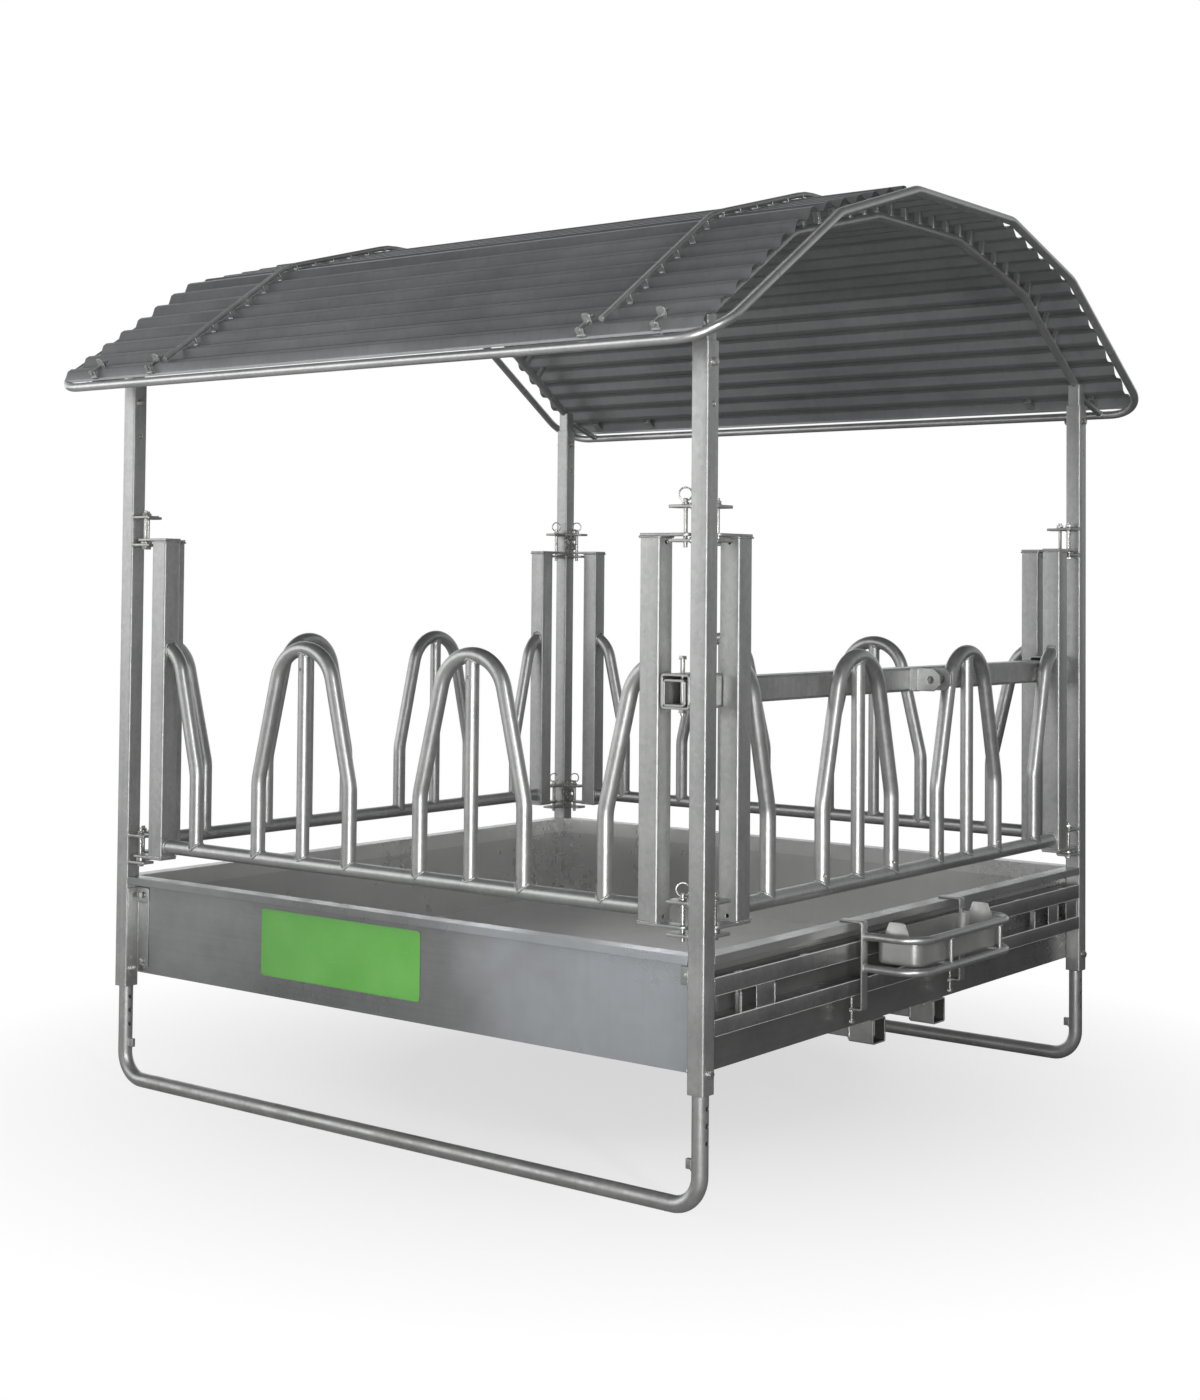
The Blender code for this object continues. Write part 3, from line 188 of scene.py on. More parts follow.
class Wiring:
    """Adds and joins nodes in one shader tree."""

    def __init__(self, tree):
        self.tree = tree

    def add(self, kind, **values):
        """Add a node and set its own values."""
        node = self.tree.nodes.new(kind)
        for key, value in values.items():
            setattr(node, key, value)
        return node

    def join(self, source, target):
        """Run a wire from one socket to another."""
        self.tree.links.new(source, target)

    def feed(self, value, socket):
        """Set a socket to a number or join it to another socket."""
        if isinstance(value, (int, float)):
            socket.default_value = value
        else:
            self.join(value, socket)

    def math(self, operation, first, second):
        """Reckon with two numbers or sockets."""
        node = self.add("ShaderNodeMath", operation=operation)
        for socket, value in zip(node.inputs, (first, second)):
            self.feed(value, socket)
        return node.outputs[0]

    def weigh(self, first, share, second, rest):
        """Add two values, each times its share."""
        first = self.math("MULTIPLY", first, share)
        return self.math("ADD", first, self.math("MULTIPLY", second, rest))

    def remap(self, value, low, high, out_low, out_high):
        """Carry a value from one range to another."""
        node = self.add("ShaderNodeMapRange")
        for socket, item in zip(node.inputs, (value, low, high, out_low, out_high)):
            self.feed(item, socket)
        return node.outputs[0]

    def noise(self, vector, scale, detail=3.0, rough=0.55):
        """Cloudy noise around one half."""
        node = self.add("ShaderNodeTexNoise")
        self.join(vector, node.inputs["Vector"])
        self.feed(scale, node.inputs["Scale"])
        node.inputs["Detail"].default_value = detail
        node.inputs["Roughness"].default_value = rough
        return node.outputs["Fac"]

    def facing(self):
        """The way a face looks."""
        return self.add("ShaderNodeNewGeometry").outputs["Normal"]

    def parts(self, vector):
        """The X, Y and Z of a vector."""
        node = self.add("ShaderNodeSeparateXYZ")
        self.join(vector, node.inputs[0])
        return node.outputs

    def vectors(self, operation, first, second):
        """Reckon with two vectors."""
        node = self.add("ShaderNodeVectorMath", operation=operation)
        self.join(first, node.inputs[0])
        if isinstance(second, tuple):
            node.inputs[1].default_value = second
        else:
            self.join(second, node.inputs[1])
        return node.outputs

    def bump(self, height, strength, distance, normal=None):
        """Turn a height into relief on the surface."""
        node = self.add("ShaderNodeBump")
        node.inputs["Strength"].default_value = strength
        node.inputs["Distance"].default_value = distance
        self.join(height, node.inputs["Height"])
        if normal is not None:
            self.join(normal, node.inputs["Normal"])
        return node.outputs[0]

    def stretch(self, vector, scale):
        """Scale a place differently along X, Y and Z."""
        node = self.add("ShaderNodeMapping")
        node.inputs["Scale"].default_value = scale
        self.join(vector, node.inputs["Vector"])
        return node.outputs["Vector"]

    def mix(self, factor, first, second):
        """Blend two colours."""
        node = self.add("ShaderNodeMix", data_type="RGBA")
        self.feed(factor, node.inputs[0])
        for value, socket in ((first, node.inputs[6]), (second, node.inputs[7])):
            if isinstance(value, tuple):
                socket.default_value = (*value, 1.0)
            else:
                self.join(value, socket)
        return node.outputs[2]


def shader_group(name, inputs, outputs):
    """Make an empty shader group with named inputs and outputs."""
    tree = bpy.data.node_groups.new(name, "ShaderNodeTree")
    for label, kind, value in inputs:
        socket = tree.interface.new_socket(name=label, in_out="INPUT", socket_type=kind)
        if value is not None:
            socket.default_value = value
    for label, kind in outputs:
        tree.interface.new_socket(name=label, in_out="OUTPUT", socket_type=kind)
    wires = Wiring(tree)
    start = wires.add("NodeGroupInput")
    end = wires.add("NodeGroupOutput")
    return tree, wires, start.outputs, end.inputs


def zinc_bloom_group():
    """Zinc crystals, cloudy patches and fine speckle, each as a value around one half."""
    tree, wires, given, out = shader_group(
        "zinc_bloom",
        (
            ("Place", "NodeSocketVector", None),
            ("Crystal Scale", "NodeSocketFloat", 85.0),
            ("Cloud Scale", "NodeSocketFloat", 5.0),
            ("Crystal Share", "NodeSocketFloat", 0.35),
        ),
        (("Tone", "NodeSocketFloat"), ("Gloss", "NodeSocketFloat"), ("Relief", "NodeSocketFloat")),
    )
    place = given["Place"]
    warp = wires.add("ShaderNodeTexNoise")
    warp.inputs["Scale"].default_value = 30.0
    wires.join(place, warp.inputs["Vector"])
    shrink = wires.add("ShaderNodeVectorMath", operation="SCALE")
    shrink.inputs["Scale"].default_value = 0.012
    wires.join(warp.outputs["Color"], shrink.inputs[0])
    bent = wires.vectors("ADD", place, shrink.outputs[0])[0]
    crystal = wires.add("ShaderNodeTexVoronoi", feature="F1")
    wires.join(bent, crystal.inputs["Vector"])
    wires.join(given["Crystal Scale"], crystal.inputs["Scale"])
    grain = wires.add("ShaderNodeSeparateColor")
    wires.join(crystal.outputs["Color"], grain.inputs[0])
    cloud = wires.noise(place, given["Cloud Scale"], 4.0, 0.6)
    cloud = wires.remap(cloud, 0.3, 0.7, 0.0, 1.0)
    speck = wires.noise(place, 420.0, 2.0, 0.5)
    share = given["Crystal Share"]
    rest = wires.math("SUBTRACT", 1.0, share)
    tone = wires.weigh(grain.outputs[0], share, cloud, rest)
    tone = wires.math("ADD", tone, wires.remap(speck, 0.35, 0.65, -0.07, 0.07))
    wires.join(tone, out["Tone"])
    wires.join(wires.weigh(grain.outputs[1], 0.4, cloud, 0.6), out["Gloss"])
    bumps = wires.noise(place, 160.0, 3.0, 0.6)
    wires.join(wires.weigh(bumps, 0.7, speck, 0.3), out["Relief"])
    return tree


def soft_edge_group():
    """Rounded shading at hard edges and a mask of those edges."""
    tree, wires, given, out = shader_group(
        "soft_edge",
        (("Radius", "NodeSocketFloat", 0.002), ("Gain", "NodeSocketFloat", 3.0)),
        (("Edge", "NodeSocketFloat"), ("Normal", "NodeSocketVector")),
    )
    round_off = wires.add("ShaderNodeBevel", samples=4)
    wires.join(given["Radius"], round_off.inputs["Radius"])
    dot = wires.vectors("DOT_PRODUCT", round_off.outputs[0], wires.facing())["Value"]
    edge = wires.math("MULTIPLY", wires.math("SUBTRACT", 1.0, dot), given["Gain"])
    limit = wires.add("ShaderNodeClamp")
    wires.join(edge, limit.inputs[0])
    wires.join(limit.outputs[0], out["Edge"])
    wires.join(round_off.outputs[0], out["Normal"])
    return tree


def weather_group():
    """Dull runs that trail down upright faces and dirt that gathers low on the feeder."""
    tree, wires, given, out = shader_group(
        "weather",
        (("Place", "NodeSocketVector", None), ("Dirt Height", "NodeSocketFloat", 0.5)),
        (("Runs", "NodeSocketFloat"), ("Dirt", "NodeSocketFloat")),
    )
    place = given["Place"]
    runs = wires.noise(wires.stretch(place, (60.0, 60.0, 2.2)), 1.0, 4.0, 0.6)
    wires.join(wires.remap(runs, 0.52, 0.74, 0.0, 1.0), out["Runs"])
    low = wires.math("DIVIDE", wires.parts(place)["Z"], given["Dirt Height"])
    low = wires.remap(low, 0.0, 1.0, 1.0, 0.0)
    patch = wires.remap(wires.noise(place, 14.0, 4.0, 0.65), 0.42, 0.68, 0.0, 1.0)
    wires.join(wires.math("MULTIPLY", low, patch), out["Dirt"])
    return tree


ZINC_BLOOM = zinc_bloom_group()
SOFT_EDGE = soft_edge_group()
WEATHER = weather_group()


def blank_material(name):
    """Make a material with a Principled shader and return it with its wiring."""
    material = bpy.data.materials.new(name)
    material.use_nodes = True
    wires = Wiring(material.node_tree)
    shader = material.node_tree.nodes["Principled BSDF"]
    place = wires.add("ShaderNodeTexCoord").outputs["Object"]
    return material, wires, shader, place


def placed_group(wires, tree, **values):
    """Place a shader group and set its inputs."""
    node = wires.add("ShaderNodeGroup", node_tree=tree)
    for label, value in values.items():
        wires.feed(value, node.inputs[label.replace("_", " ")])
    return node.outputs


# Tones mixed into finishes: a bright panel end, pale painted light, dark painted shade and dirt;
# and the heights between which the painted light of the rim's band sets in.
BRIGHT_END_TONE = (0.66, 0.69, 0.73)
PAINTED_LIGHT_ZINC = (0.78, 0.78, 0.77)
RIM_SHADE = (0.10, 0.10, 0.095)
DIRT = (0.16, 0.15, 0.13)
RIM_BAND = (0.583, 0.586)


def zinc_coat(name, dark, light, metallic, rough, crystal=0.35, edge=(0.002, 0.35), relief=0.12,
              clouds=5.0, brushed=None, crystals=85.0, bright_end=None, runs=0.22, dirt=0.18,
              inner_painted_light=0.0, rim_painted_light_and_shade=None):
    """Build one zinc finish from its two tones, its gloss range and its relief.

    bright_end is the place where a panel turns bright. The inner light share is painted light: it
    pales the faces that look to the middle of the feeder. The rim tones are painted light on the band
    under a tray rim and painted shade on its flat top. The edge amount is a painted highlight that
    pales the hard edges.
    """
    material, wires, shader, place = blank_material(name)
    bloom = placed_group(wires, ZINC_BLOOM, Place=place, Crystal_Scale=crystals, Cloud_Scale=clouds,
                         Crystal_Share=crystal)
    weather = placed_group(wires, WEATHER, Place=place, Dirt_Height=0.45)
    corner = placed_group(wires, SOFT_EDGE, Radius=edge[0], Gain=3.0)
    tone = bloom["Tone"]
    if brushed:
        grain = wires.noise(wires.stretch(place, brushed), 1.0, 3.0, 0.5)
        tone = wires.math("ADD", tone, wires.remap(grain, 0.35, 0.65, -0.07, 0.07))
    color = wires.mix(tone, dark, light)
    # The panel turns brighter towards one end, with a cloudy border.
    if bright_end:
        away = wires.vectors("DISTANCE", place, bright_end)["Value"]
        uneven_reach = wires.math("ADD", away, wires.remap(wires.noise(place, 3.2), 0.3, 0.7, -0.3, 0.3))
        share = wires.add("ShaderNodeMapRange", interpolation_type="SMOOTHSTEP")
        for socket, value in zip(share.inputs, (uneven_reach, 0.15, 0.95, 0.75, 0.0)):
            wires.feed(value, socket)
        color = wires.mix(share.outputs[0], color, BRIGHT_END_TONE)
    # Painted light: faces that look to the middle of the feeder are paled as if lit from above.
    if inner_painted_light:
        outward = wires.vectors("DOT_PRODUCT", place, wires.facing())["Value"]
        color = wires.mix(wires.remap(outward, -0.6, -0.3, inner_painted_light, 0.0), color, PAINTED_LIGHT_ZINC)
    # Painted light on the band under the tray rim, and painted shade on the rim's flat top.
    if rim_painted_light_and_shade:
        band = wires.remap(wires.parts(place)["Z"], *RIM_BAND, 0.0, rim_painted_light_and_shade[0])
        color = wires.mix(band, color, PAINTED_LIGHT_ZINC)
        flat = wires.remap(wires.parts(wires.facing())["Z"], 0.90, 0.97, 0.0, rim_painted_light_and_shade[1])
        color = wires.mix(flat, color, RIM_SHADE)
    pale = tuple(min(1.0, 1.25 * part) for part in light)
    dull = tuple(0.72 * part for part in dark)
    color = wires.mix(wires.math("MULTIPLY", weather["Runs"], runs), color, dull)
    # Painted highlight: hard edges are paled towards a lighter tone.
    color = wires.mix(wires.math("MULTIPLY", corner["Edge"], edge[1]), color, pale)
    color = wires.mix(wires.math("MULTIPLY", weather["Dirt"], dirt), color, DIRT)
    wires.join(color, shader.inputs["Base Color"])
    shader.inputs["Metallic"].default_value = metallic
    gloss = wires.remap(bloom["Gloss"], 0.0, 1.0, rough[0], rough[1])
    gloss = wires.math("ADD", gloss, wires.math("MULTIPLY", weather["Dirt"], dirt))
    wires.join(gloss, shader.inputs["Roughness"])
    wires.join(wires.bump(bloom["Relief"], relief, 0.001, corner["Normal"]), shader.inputs["Normal"])
    return material


def weld_material():
    """Rough bright weld metal with dark soot beside the bead."""
    material, wires, shader, place = blank_material("weld_metal")
    lumps = wires.noise(place, 260.0, 4.0, 0.65)
    soot = wires.remap(wires.noise(place, 55.0, 3.0, 0.6), 0.4, 0.62, 0.0, 1.0)
    color = wires.mix(wires.remap(lumps, 0.35, 0.65, 0.0, 1.0), (0.42, 0.42, 0.42), (0.82, 0.83, 0.82))
    color = wires.mix(wires.math("MULTIPLY", soot, 0.30), color, (0.15, 0.145, 0.14))
    wires.join(color, shader.inputs["Base Color"])
    shader.inputs["Metallic"].default_value = 0.8
    wires.join(wires.remap(lumps, 0.3, 0.7, 0.32, 0.6), shader.inputs["Roughness"])
    wires.join(wires.bump(lumps, 0.6, 0.0015), shader.inputs["Normal"])
    return material


def sign_material():
    """Plain green sheet with a slight sheen and rubbed edges."""
    material, wires, shader, place = blank_material("green_plate")
    cloud = wires.remap(wires.noise(place, 7.0, 4.0, 0.6), 0.3, 0.7, 0.0, 1.0)
    color = wires.mix(cloud, (0.145, 0.475, 0.085), (0.185, 0.535, 0.115))
    scuff = wires.noise(wires.stretch(place, (14.0, 14.0, 160.0)), 1.0, 4.0, 0.7)
    scuff = wires.remap(scuff, 0.66, 0.80, 0.0, 0.6)
    color = wires.mix(scuff, color, (0.42, 0.60, 0.36))
    corner = placed_group(wires, SOFT_EDGE, Radius=0.0015, Gain=3.0)
    color = wires.mix(wires.math("MULTIPLY", corner["Edge"], 0.5), color, (0.55, 0.66, 0.50))
    wires.join(color, shader.inputs["Base Color"])
    wires.join(wires.remap(cloud, 0.0, 1.0, 0.38, 0.5), shader.inputs["Roughness"])
    wires.join(wires.bump(wires.noise(place, 11.0, 2.0, 0.4), 0.15, 0.002), shader.inputs["Normal"])
    return material


TUBE_ZINC = zinc_coat("tube_zinc", (0.40, 0.405, 0.40), (0.57, 0.575, 0.565), 0.80, (0.31, 0.43),
                      relief=0.08, runs=0.10)
# A paler copy of the tube zinc with its own gloss; the paler tone is painted light for the bright eave
# tubes and end arches.
RIM_PAINTED_LIGHT_ZINC = zinc_coat("rim_zinc_painted_light", (0.52, 0.525, 0.52), (0.70, 0.705, 0.695), 0.84, (0.27, 0.38),
                     runs=0.08)
POST_ZINC = zinc_coat("post_zinc", (0.38, 0.385, 0.38), (0.54, 0.545, 0.535), 0.78, (0.33, 0.47),
                      edge=(0.0035, 0.45), brushed=(90.0, 90.0, 3.0))
TRAY_ZINC = zinc_coat("tray_zinc", (0.25, 0.25, 0.248), (0.38, 0.38, 0.375), 0.80, (0.24, 0.36),
                      crystal=0.10, clouds=1.6, relief=0.04, brushed=(0.6, 0.6, 130.0), crystals=45.0,
                      runs=0.04, dirt=0.05, inner_painted_light=0.55, rim_painted_light_and_shade=(0.55, 0.72))
FRONT_ZINC = zinc_coat("front_panel_zinc", (0.22, 0.222, 0.222), (0.37, 0.373, 0.375), 0.78,
                       (0.24, 0.36), crystal=0.10, clouds=1.6, relief=0.04, brushed=(0.6, 0.6, 130.0),
                       crystals=45.0, bright_end=(0.93, -1.05, 0.50), runs=0.04, dirt=0.05)
# A far paler copy of the tray zinc: painted light on the tray floor, as if lit from above.
FLOOR_PAINTED_LIGHT_ZINC = zinc_coat("tray_floor_zinc_painted_light", (0.66, 0.66, 0.655), (0.80, 0.80, 0.79), 0.55, (0.28, 0.40),
                       crystal=0.15, clouds=2.6, relief=0.06, crystals=45.0, runs=0.0, dirt=0.03)
ROOF_ZINC = zinc_coat("roof_zinc", (0.23, 0.235, 0.24), (0.34, 0.345, 0.35), 0.60, (0.28, 0.40),
                      crystal=0.15, clouds=2.0, edge=(0.0012, 0.4), relief=0.05,
                      brushed=(2.0, 70.0, 70.0), crystals=50.0)
PLATED = zinc_coat("plated_zinc", (0.46, 0.46, 0.44), (0.68, 0.68, 0.65), 0.9, (0.22, 0.36),
                   edge=(0.001, 0.4))
RAIL_ZINC = zinc_coat("rail_zinc", (0.26, 0.26, 0.257), (0.38, 0.38, 0.375), 0.80, (0.30, 0.42),
                      edge=(0.0016, 0.8), runs=0.10)
CHAIN_ZINC = zinc_coat("chain_zinc", (0.20, 0.20, 0.195), (0.42, 0.42, 0.41), 0.85, (0.3, 0.5),
                       edge=(0.0006, 0.3), relief=0.3)
BIN_ZINC = zinc_coat("bin_zinc", (0.40, 0.40, 0.395), (0.55, 0.55, 0.54), 0.65, (0.28, 0.40),
                     crystal=0.15, clouds=4.0, relief=0.05, runs=0.05)
# Near-white finish for thin rods that paint highlights along the rail edges.
PAINTED_EDGE_HIGHLIGHT = zinc_coat("painted_edge_highlight", (0.82, 0.82, 0.81), (0.95, 0.95, 0.94), 0.25, (0.32, 0.46),
                       runs=0.0, dirt=0.0)
# Near-black finish for linings that paint the shade inside the fork pockets.
POCKET_PAINTED_SHADE = zinc_coat("pocket_painted_shade", (0.035, 0.035, 0.034), (0.06, 0.06, 0.058), 0.3, (0.6, 0.8),
                          relief=0.05)
WELD = weld_material()
SIGN_GREEN = sign_material()


# ---- mesh making -----------------------------------------------------------


def add_piece(name, shell, material, body, replaces=(), turn=UPRIGHT, sharp=SMOOTH_ANGLE):
    """Finish a shell as one piece that rides on a body."""
    mesh = bpy.data.meshes.new(name)
    bmesh.ops.recalc_face_normals(shell, faces=shell.faces)
    shell.to_mesh(mesh)
    shell.free()
    mesh.transform(TO_ROW @ turn)
    mesh.materials.append(material)
    mesh.shade_smooth()
    mesh.set_sharp_from_angle(angle=sharp)
    made = bpy.data.objects.new(name, mesh)
    bpy.context.scene.collection.objects.link(made)
    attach(made, body)
    if replaces:
        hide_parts(*replaces)
    return made


def add_welds(name, beads, body, turn=UPRIGHT):
    """Finish weld beads as one piece that rides on a body."""
    add_piece(name, beads, WELD, body, (), turn, sharp=WELD_ANGLE)


def carve(made, cutter):
    """Cut a shell, given in the feeder's own place, out of a piece."""
    tool_mesh = bpy.data.meshes.new("cutter")
    bmesh.ops.recalc_face_normals(cutter, faces=cutter.faces)
    cutter.to_mesh(tool_mesh)
    cutter.free()
    tool_mesh.transform(TO_ROW)
    tool = bpy.data.objects.new("cutter", tool_mesh)
    bpy.context.scene.collection.objects.link(tool)
    step = made.modifiers.new("cut", "BOOLEAN")
    step.operation = "DIFFERENCE"
    step.solver = "EXACT"
    step.object = tool
    bpy.context.view_layer.update()
    shaped = made.evaluated_get(bpy.context.evaluated_depsgraph_get())
    mesh = bpy.data.meshes.new_from_object(shaped)
    made.modifiers.clear()
    made.data = mesh
    mesh.shade_smooth()
    mesh.set_sharp_from_angle(angle=SMOOTH_ANGLE)
    bpy.data.objects.remove(tool)


def merge(shell, other, place):
    """Add one shell to another."""
    mesh = bpy.data.meshes.new("part")
    other.to_mesh(mesh)
    other.free()
    mesh.transform(place)
    shell.from_mesh(mesh)
    bpy.data.meshes.remove(mesh)


def frames_along(path, closed):
    """Tangent, normal and side at each point, carried along without twist."""
    count = len(path)
    tangents = []
    for number in range(count):
        before = path[number - 1] if number or closed else path[number]
        after = path[(number + 1) % count] if number + 1 < count or closed else path[number]
        tangents.append((after - before).normalized())
    normal = tangents[0].orthogonal().normalized()
    frames = []
    for number, tangent in enumerate(tangents):
        if number:
            axis = tangents[number - 1].cross(tangent)
            if axis.length > 1e-9:
                angle = tangents[number - 1].angle(tangent)
                normal = Matrix.Rotation(angle, 3, axis.normalized()) @ normal
        normal = (normal - tangent * normal.dot(tangent)).normalized()
        frames.append((tangent, normal, tangent.cross(normal)))
    return frames


def full_turn(count):
    """Angles of even steps around one full turn."""
    return [2.0 * math.pi * step / count for step in range(count)]


def circle(center, radius, steps=20):
    """Points of one flat circle."""
    return [(center[0] + radius * math.cos(turn), center[1] + radius * math.sin(turn))
            for turn in full_turn(steps)]


def ring_at(place, radius, steps):
    """Points of a circle about the Z axis of a place."""
    return [place @ Vector((x, y, 0.0)) for x, y in circle((0.0, 0.0), radius, steps)]


def ring_faces(shell, first, second):
    """Join two rings of the same count by faces."""
    count = len(first)
    for number in range(count):
        after = (number + 1) % count
        shell.faces.new((first[number], first[after], second[after], second[number]))


def sweep(shell, path, radius, sides, closed=False, wall=0.0, radii=None):
    """Sweep a round bar, or a tube when it has a wall, along the points."""
    path = [Vector(point) for point in path]
    frames = frames_along(path, closed)
    layers = []
    for inset in (0.0, wall) if wall else (0.0,):
        rings = []
        for number, (point, (_, normal, side)) in enumerate(zip(path, frames)):
            reach = (radii[number] if radii else radius) - inset
            ring = []
            for angle in full_turn(sides):
                spoke = normal * math.cos(angle) + side * math.sin(angle)
                ring.append(shell.verts.new(point + spoke * reach))
            rings.append(ring)
        for first, second in zip(rings, rings[1:]):
            ring_faces(shell, first, second)
        if closed:
            ring_faces(shell, rings[-1], rings[0])
        layers.append(rings)
    if closed:
        return
    if wall:
        ring_faces(shell, layers[0][0], layers[1][0])
        ring_faces(shell, layers[0][-1], layers[1][-1])
    else:
        shell.faces.new(layers[0][0])
        shell.faces.new(layers[0][-1])


def prism(shell, outline, length, place, bevel):
    """Push an outline out along its normal, centred, with a small bevel."""
    part = bmesh.new()
    low = [part.verts.new((x, y, -length / 2.0)) for x, y in outline]
    high = [part.verts.new((x, y, length / 2.0)) for x, y in outline]
    ring_faces(part, low, high)
    part.faces.new(low)
    part.faces.new(high)
    bmesh.ops.recalc_face_normals(part, faces=part.faces)
    edges = [edge for edge in part.edges if edge.calc_face_angle(0.0) > 0.5]
    bmesh.ops.bevel(part, geom=edges, offset=bevel, segments=2, profile=0.6, affect="EDGES")
    merge(shell, part, place)


def block(shell, center, size, place=UPRIGHT, bevel=0.0008):
    """Add one block with softened edges."""
    half_x, half_y = size[0] / 2.0, size[1] / 2.0
    outline = ((half_x, half_y), (-half_x, half_y), (-half_x, -half_y), (half_x, -half_y))
    prism(shell, outline, size[2], place @ Matrix.Translation(center), bevel)


def rod(shell, start, end, radius, sides, bevel=0.0):
    """Add one straight round bar, with a chamfer at both ends when asked."""
    start, end = Vector(start), Vector(end)
    if not bevel:
        sweep(shell, (start, end), radius, sides)
        return
    ahead = (end - start).normalized() * bevel
    path = (start, start + ahead, end - ahead, end)
    sweep(shell, path, radius, sides, radii=(radius - bevel, radius, radius, radius - bevel))


def rounded_path(corners, radius, steps):
    """Replace the inner corners of a path by arcs."""
    path = [Vector(corners[0])]
    for before, corner, after in zip(corners, corners[1:], corners[2:]):
        arrive = (Vector(corner) - Vector(before)).normalized()
        leave = (Vector(after) - Vector(corner)).normalized()
        turn = arrive.angle(leave)
        start = Vector(corner) - arrive * radius * math.tan(turn / 2.0)
        center = Vector(corner) + (leave - arrive).normalized() * radius / math.cos(turn / 2.0)
        axis = arrive.cross(leave).normalized()
        for step in range(steps + 1):
            path.append(center + Matrix.Rotation(turn * step / steps, 3, axis) @ (start - center))
    path.append(Vector(corners[-1]))
    return path


def rounded_outline(width, height, radius, steps=4, center=(0.0, 0.0)):
    """Outline of a rectangle with round corners."""
    outline = []
    for number, (side_x, side_y) in enumerate(((1, 1), (-1, 1), (-1, -1), (1, -1))):
        for step in range(steps + 1):
            angle = math.pi / 2.0 * (number + step / steps)
            x = center[0] + side_x * (width / 2.0 - radius) + radius * math.cos(angle)
            y = center[1] + side_y * (height / 2.0 - radius) + radius * math.sin(angle)
            outline.append((x, y))
    return outline


def box_tube(shell, place, size, wall, length, corner):
    """Add a square tube with round corners outside and inside."""
    rings = []
    for inset, z in ((0.0, -0.5), (0.0, 0.5), (wall, 0.5), (wall, -0.5)):
        width = size - 2.0 * inset
        outline = rounded_outline(width, width, max(corner - inset, 0.0012), 4)
        rings.append([shell.verts.new(place @ Vector((x, y, z * length))) for x, y in outline])
    for first, second in zip(rings, rings[1:] + rings[:1]):
        ring_faces(shell, first, second)


def bead(shell, path, size, seed, closed=True):
    """Lay an uneven weld bead along the points."""
    chance = random.Random(seed)
    path = [Vector(point) for point in path]
    radii = [size * chance.uniform(0.72, 1.22) for _ in path]
    moved = [point + Vector([chance.uniform(-0.12, 0.12) * size for _ in range(3)]) for point in path]
    sweep(shell, moved, size, 8, closed=closed, radii=radii)


def hex_bolt(shell, base, axis, sizes, tail=0.0):
    """Add a hexagon head on a washer, and a thread end that stands out of it when it has a tail."""
    across, height, washer = sizes
    axis = Vector(axis).normalized()
    base = Vector(base)
    spin = axis.to_track_quat("Z", "Y").to_matrix().to_4x4()
    place = Matrix.Translation(base) @ spin
    rod(shell, base, base + axis * 0.0018, washer, 20)
    head = place @ Matrix.Translation((0.0, 0.0, 0.0018 + height / 2.0))
    prism(shell, circle((0.0, 0.0), across / 1.732, 6), height, head, 0.0009)
    if tail:
        start, end = base + axis * (height + 0.001), base + axis * (height + tail)
        rod(shell, start, end, across * 0.3, 14, 0.0008)


def curve_plate(shell, outlines, thickness, place, bevel):
    """Add a flat plate with the holes and slots of its outlines and softened edges."""
    curve = bpy.data.curves.new("plate", "CURVE")
    curve.dimensions = "2D"
    curve.fill_mode = "BOTH"
    curve.extrude = thickness / 2.0 - bevel
    curve.bevel_depth = bevel
    curve.bevel_resolution = 1
    curve.offset = -bevel
    for outline in outlines:
        line = curve.splines.new("POLY")
        line.points.add(len(outline) - 1)
        for knot, (x, y) in zip(line.points, outline):
            knot.co = (x, y, 0.0, 1.0)
        line.use_cyclic_u = True
    holder = bpy.data.objects.new("plate", curve)
    bpy.context.scene.collection.objects.link(holder)
    bpy.context.view_layer.update()
    shaped = holder.evaluated_get(bpy.context.evaluated_depsgraph_get())
    mesh = bpy.data.meshes.new_from_object(shaped)
    bpy.data.objects.remove(holder)
    mesh.transform(place)
    shell.from_mesh(mesh)
    bpy.data.meshes.remove(mesh)
    bmesh.ops.remove_doubles(shell, verts=shell.verts, dist=1e-6)


def loop_points(width, height, place, spacing=0.006):
    """Points around a rectangle for a weld bead."""
    corners = [(width / 2.0, height / 2.0), (-width / 2.0, height / 2.0),
               (-width / 2.0, -height / 2.0), (width / 2.0, -height / 2.0)]
    points = []
    for first, second in zip(corners, corners[1:] + corners[:1]):
        first, second = Vector(first), Vector(second)
        count = max(2, int((second - first).length / spacing))
        for step in range(count):
            points.append(place @ first.lerp(second, step / count).to_3d())
    return points


# ---- hoops and fences --------------------------------------------------------


def hoop_side(center):
    """Left half of a hoop's centre line: leg, knee and where the arch begins."""
    knee = Vector((-HOOP_LEG, HOOP_KNEE - ARCH_HEIGHT))
    turn = math.atan2(knee.y, knee.x) - math.acos(ARCH_RADIUS / knee.length)
    leg = center - HOOP_LEG
    x, z = center + ARCH_RADIUS * math.cos(turn), ARCH_HEIGHT + ARCH_RADIUS * math.sin(turn)
    corners = ((leg, -FENCE_DEPTH, RAIL_HEIGHT), (leg, -FENCE_DEPTH, HOOP_KNEE), (x, -FENCE_DEPTH, z))
    return rounded_path(corners, HOOP_BEND, 8), turn % (2.0 * math.pi)


def arch_points(center, first, last, steps):
    """Points on a hoop's arch between two angles."""
    points = []
    for step in range(steps + 1):
        angle = first + (last - first) * step / steps
        x = center + ARCH_RADIUS * math.cos(angle)
        points.append(Vector((x, -FENCE_DEPTH, ARCH_HEIGHT + ARCH_RADIUS * math.sin(angle))))
    return points


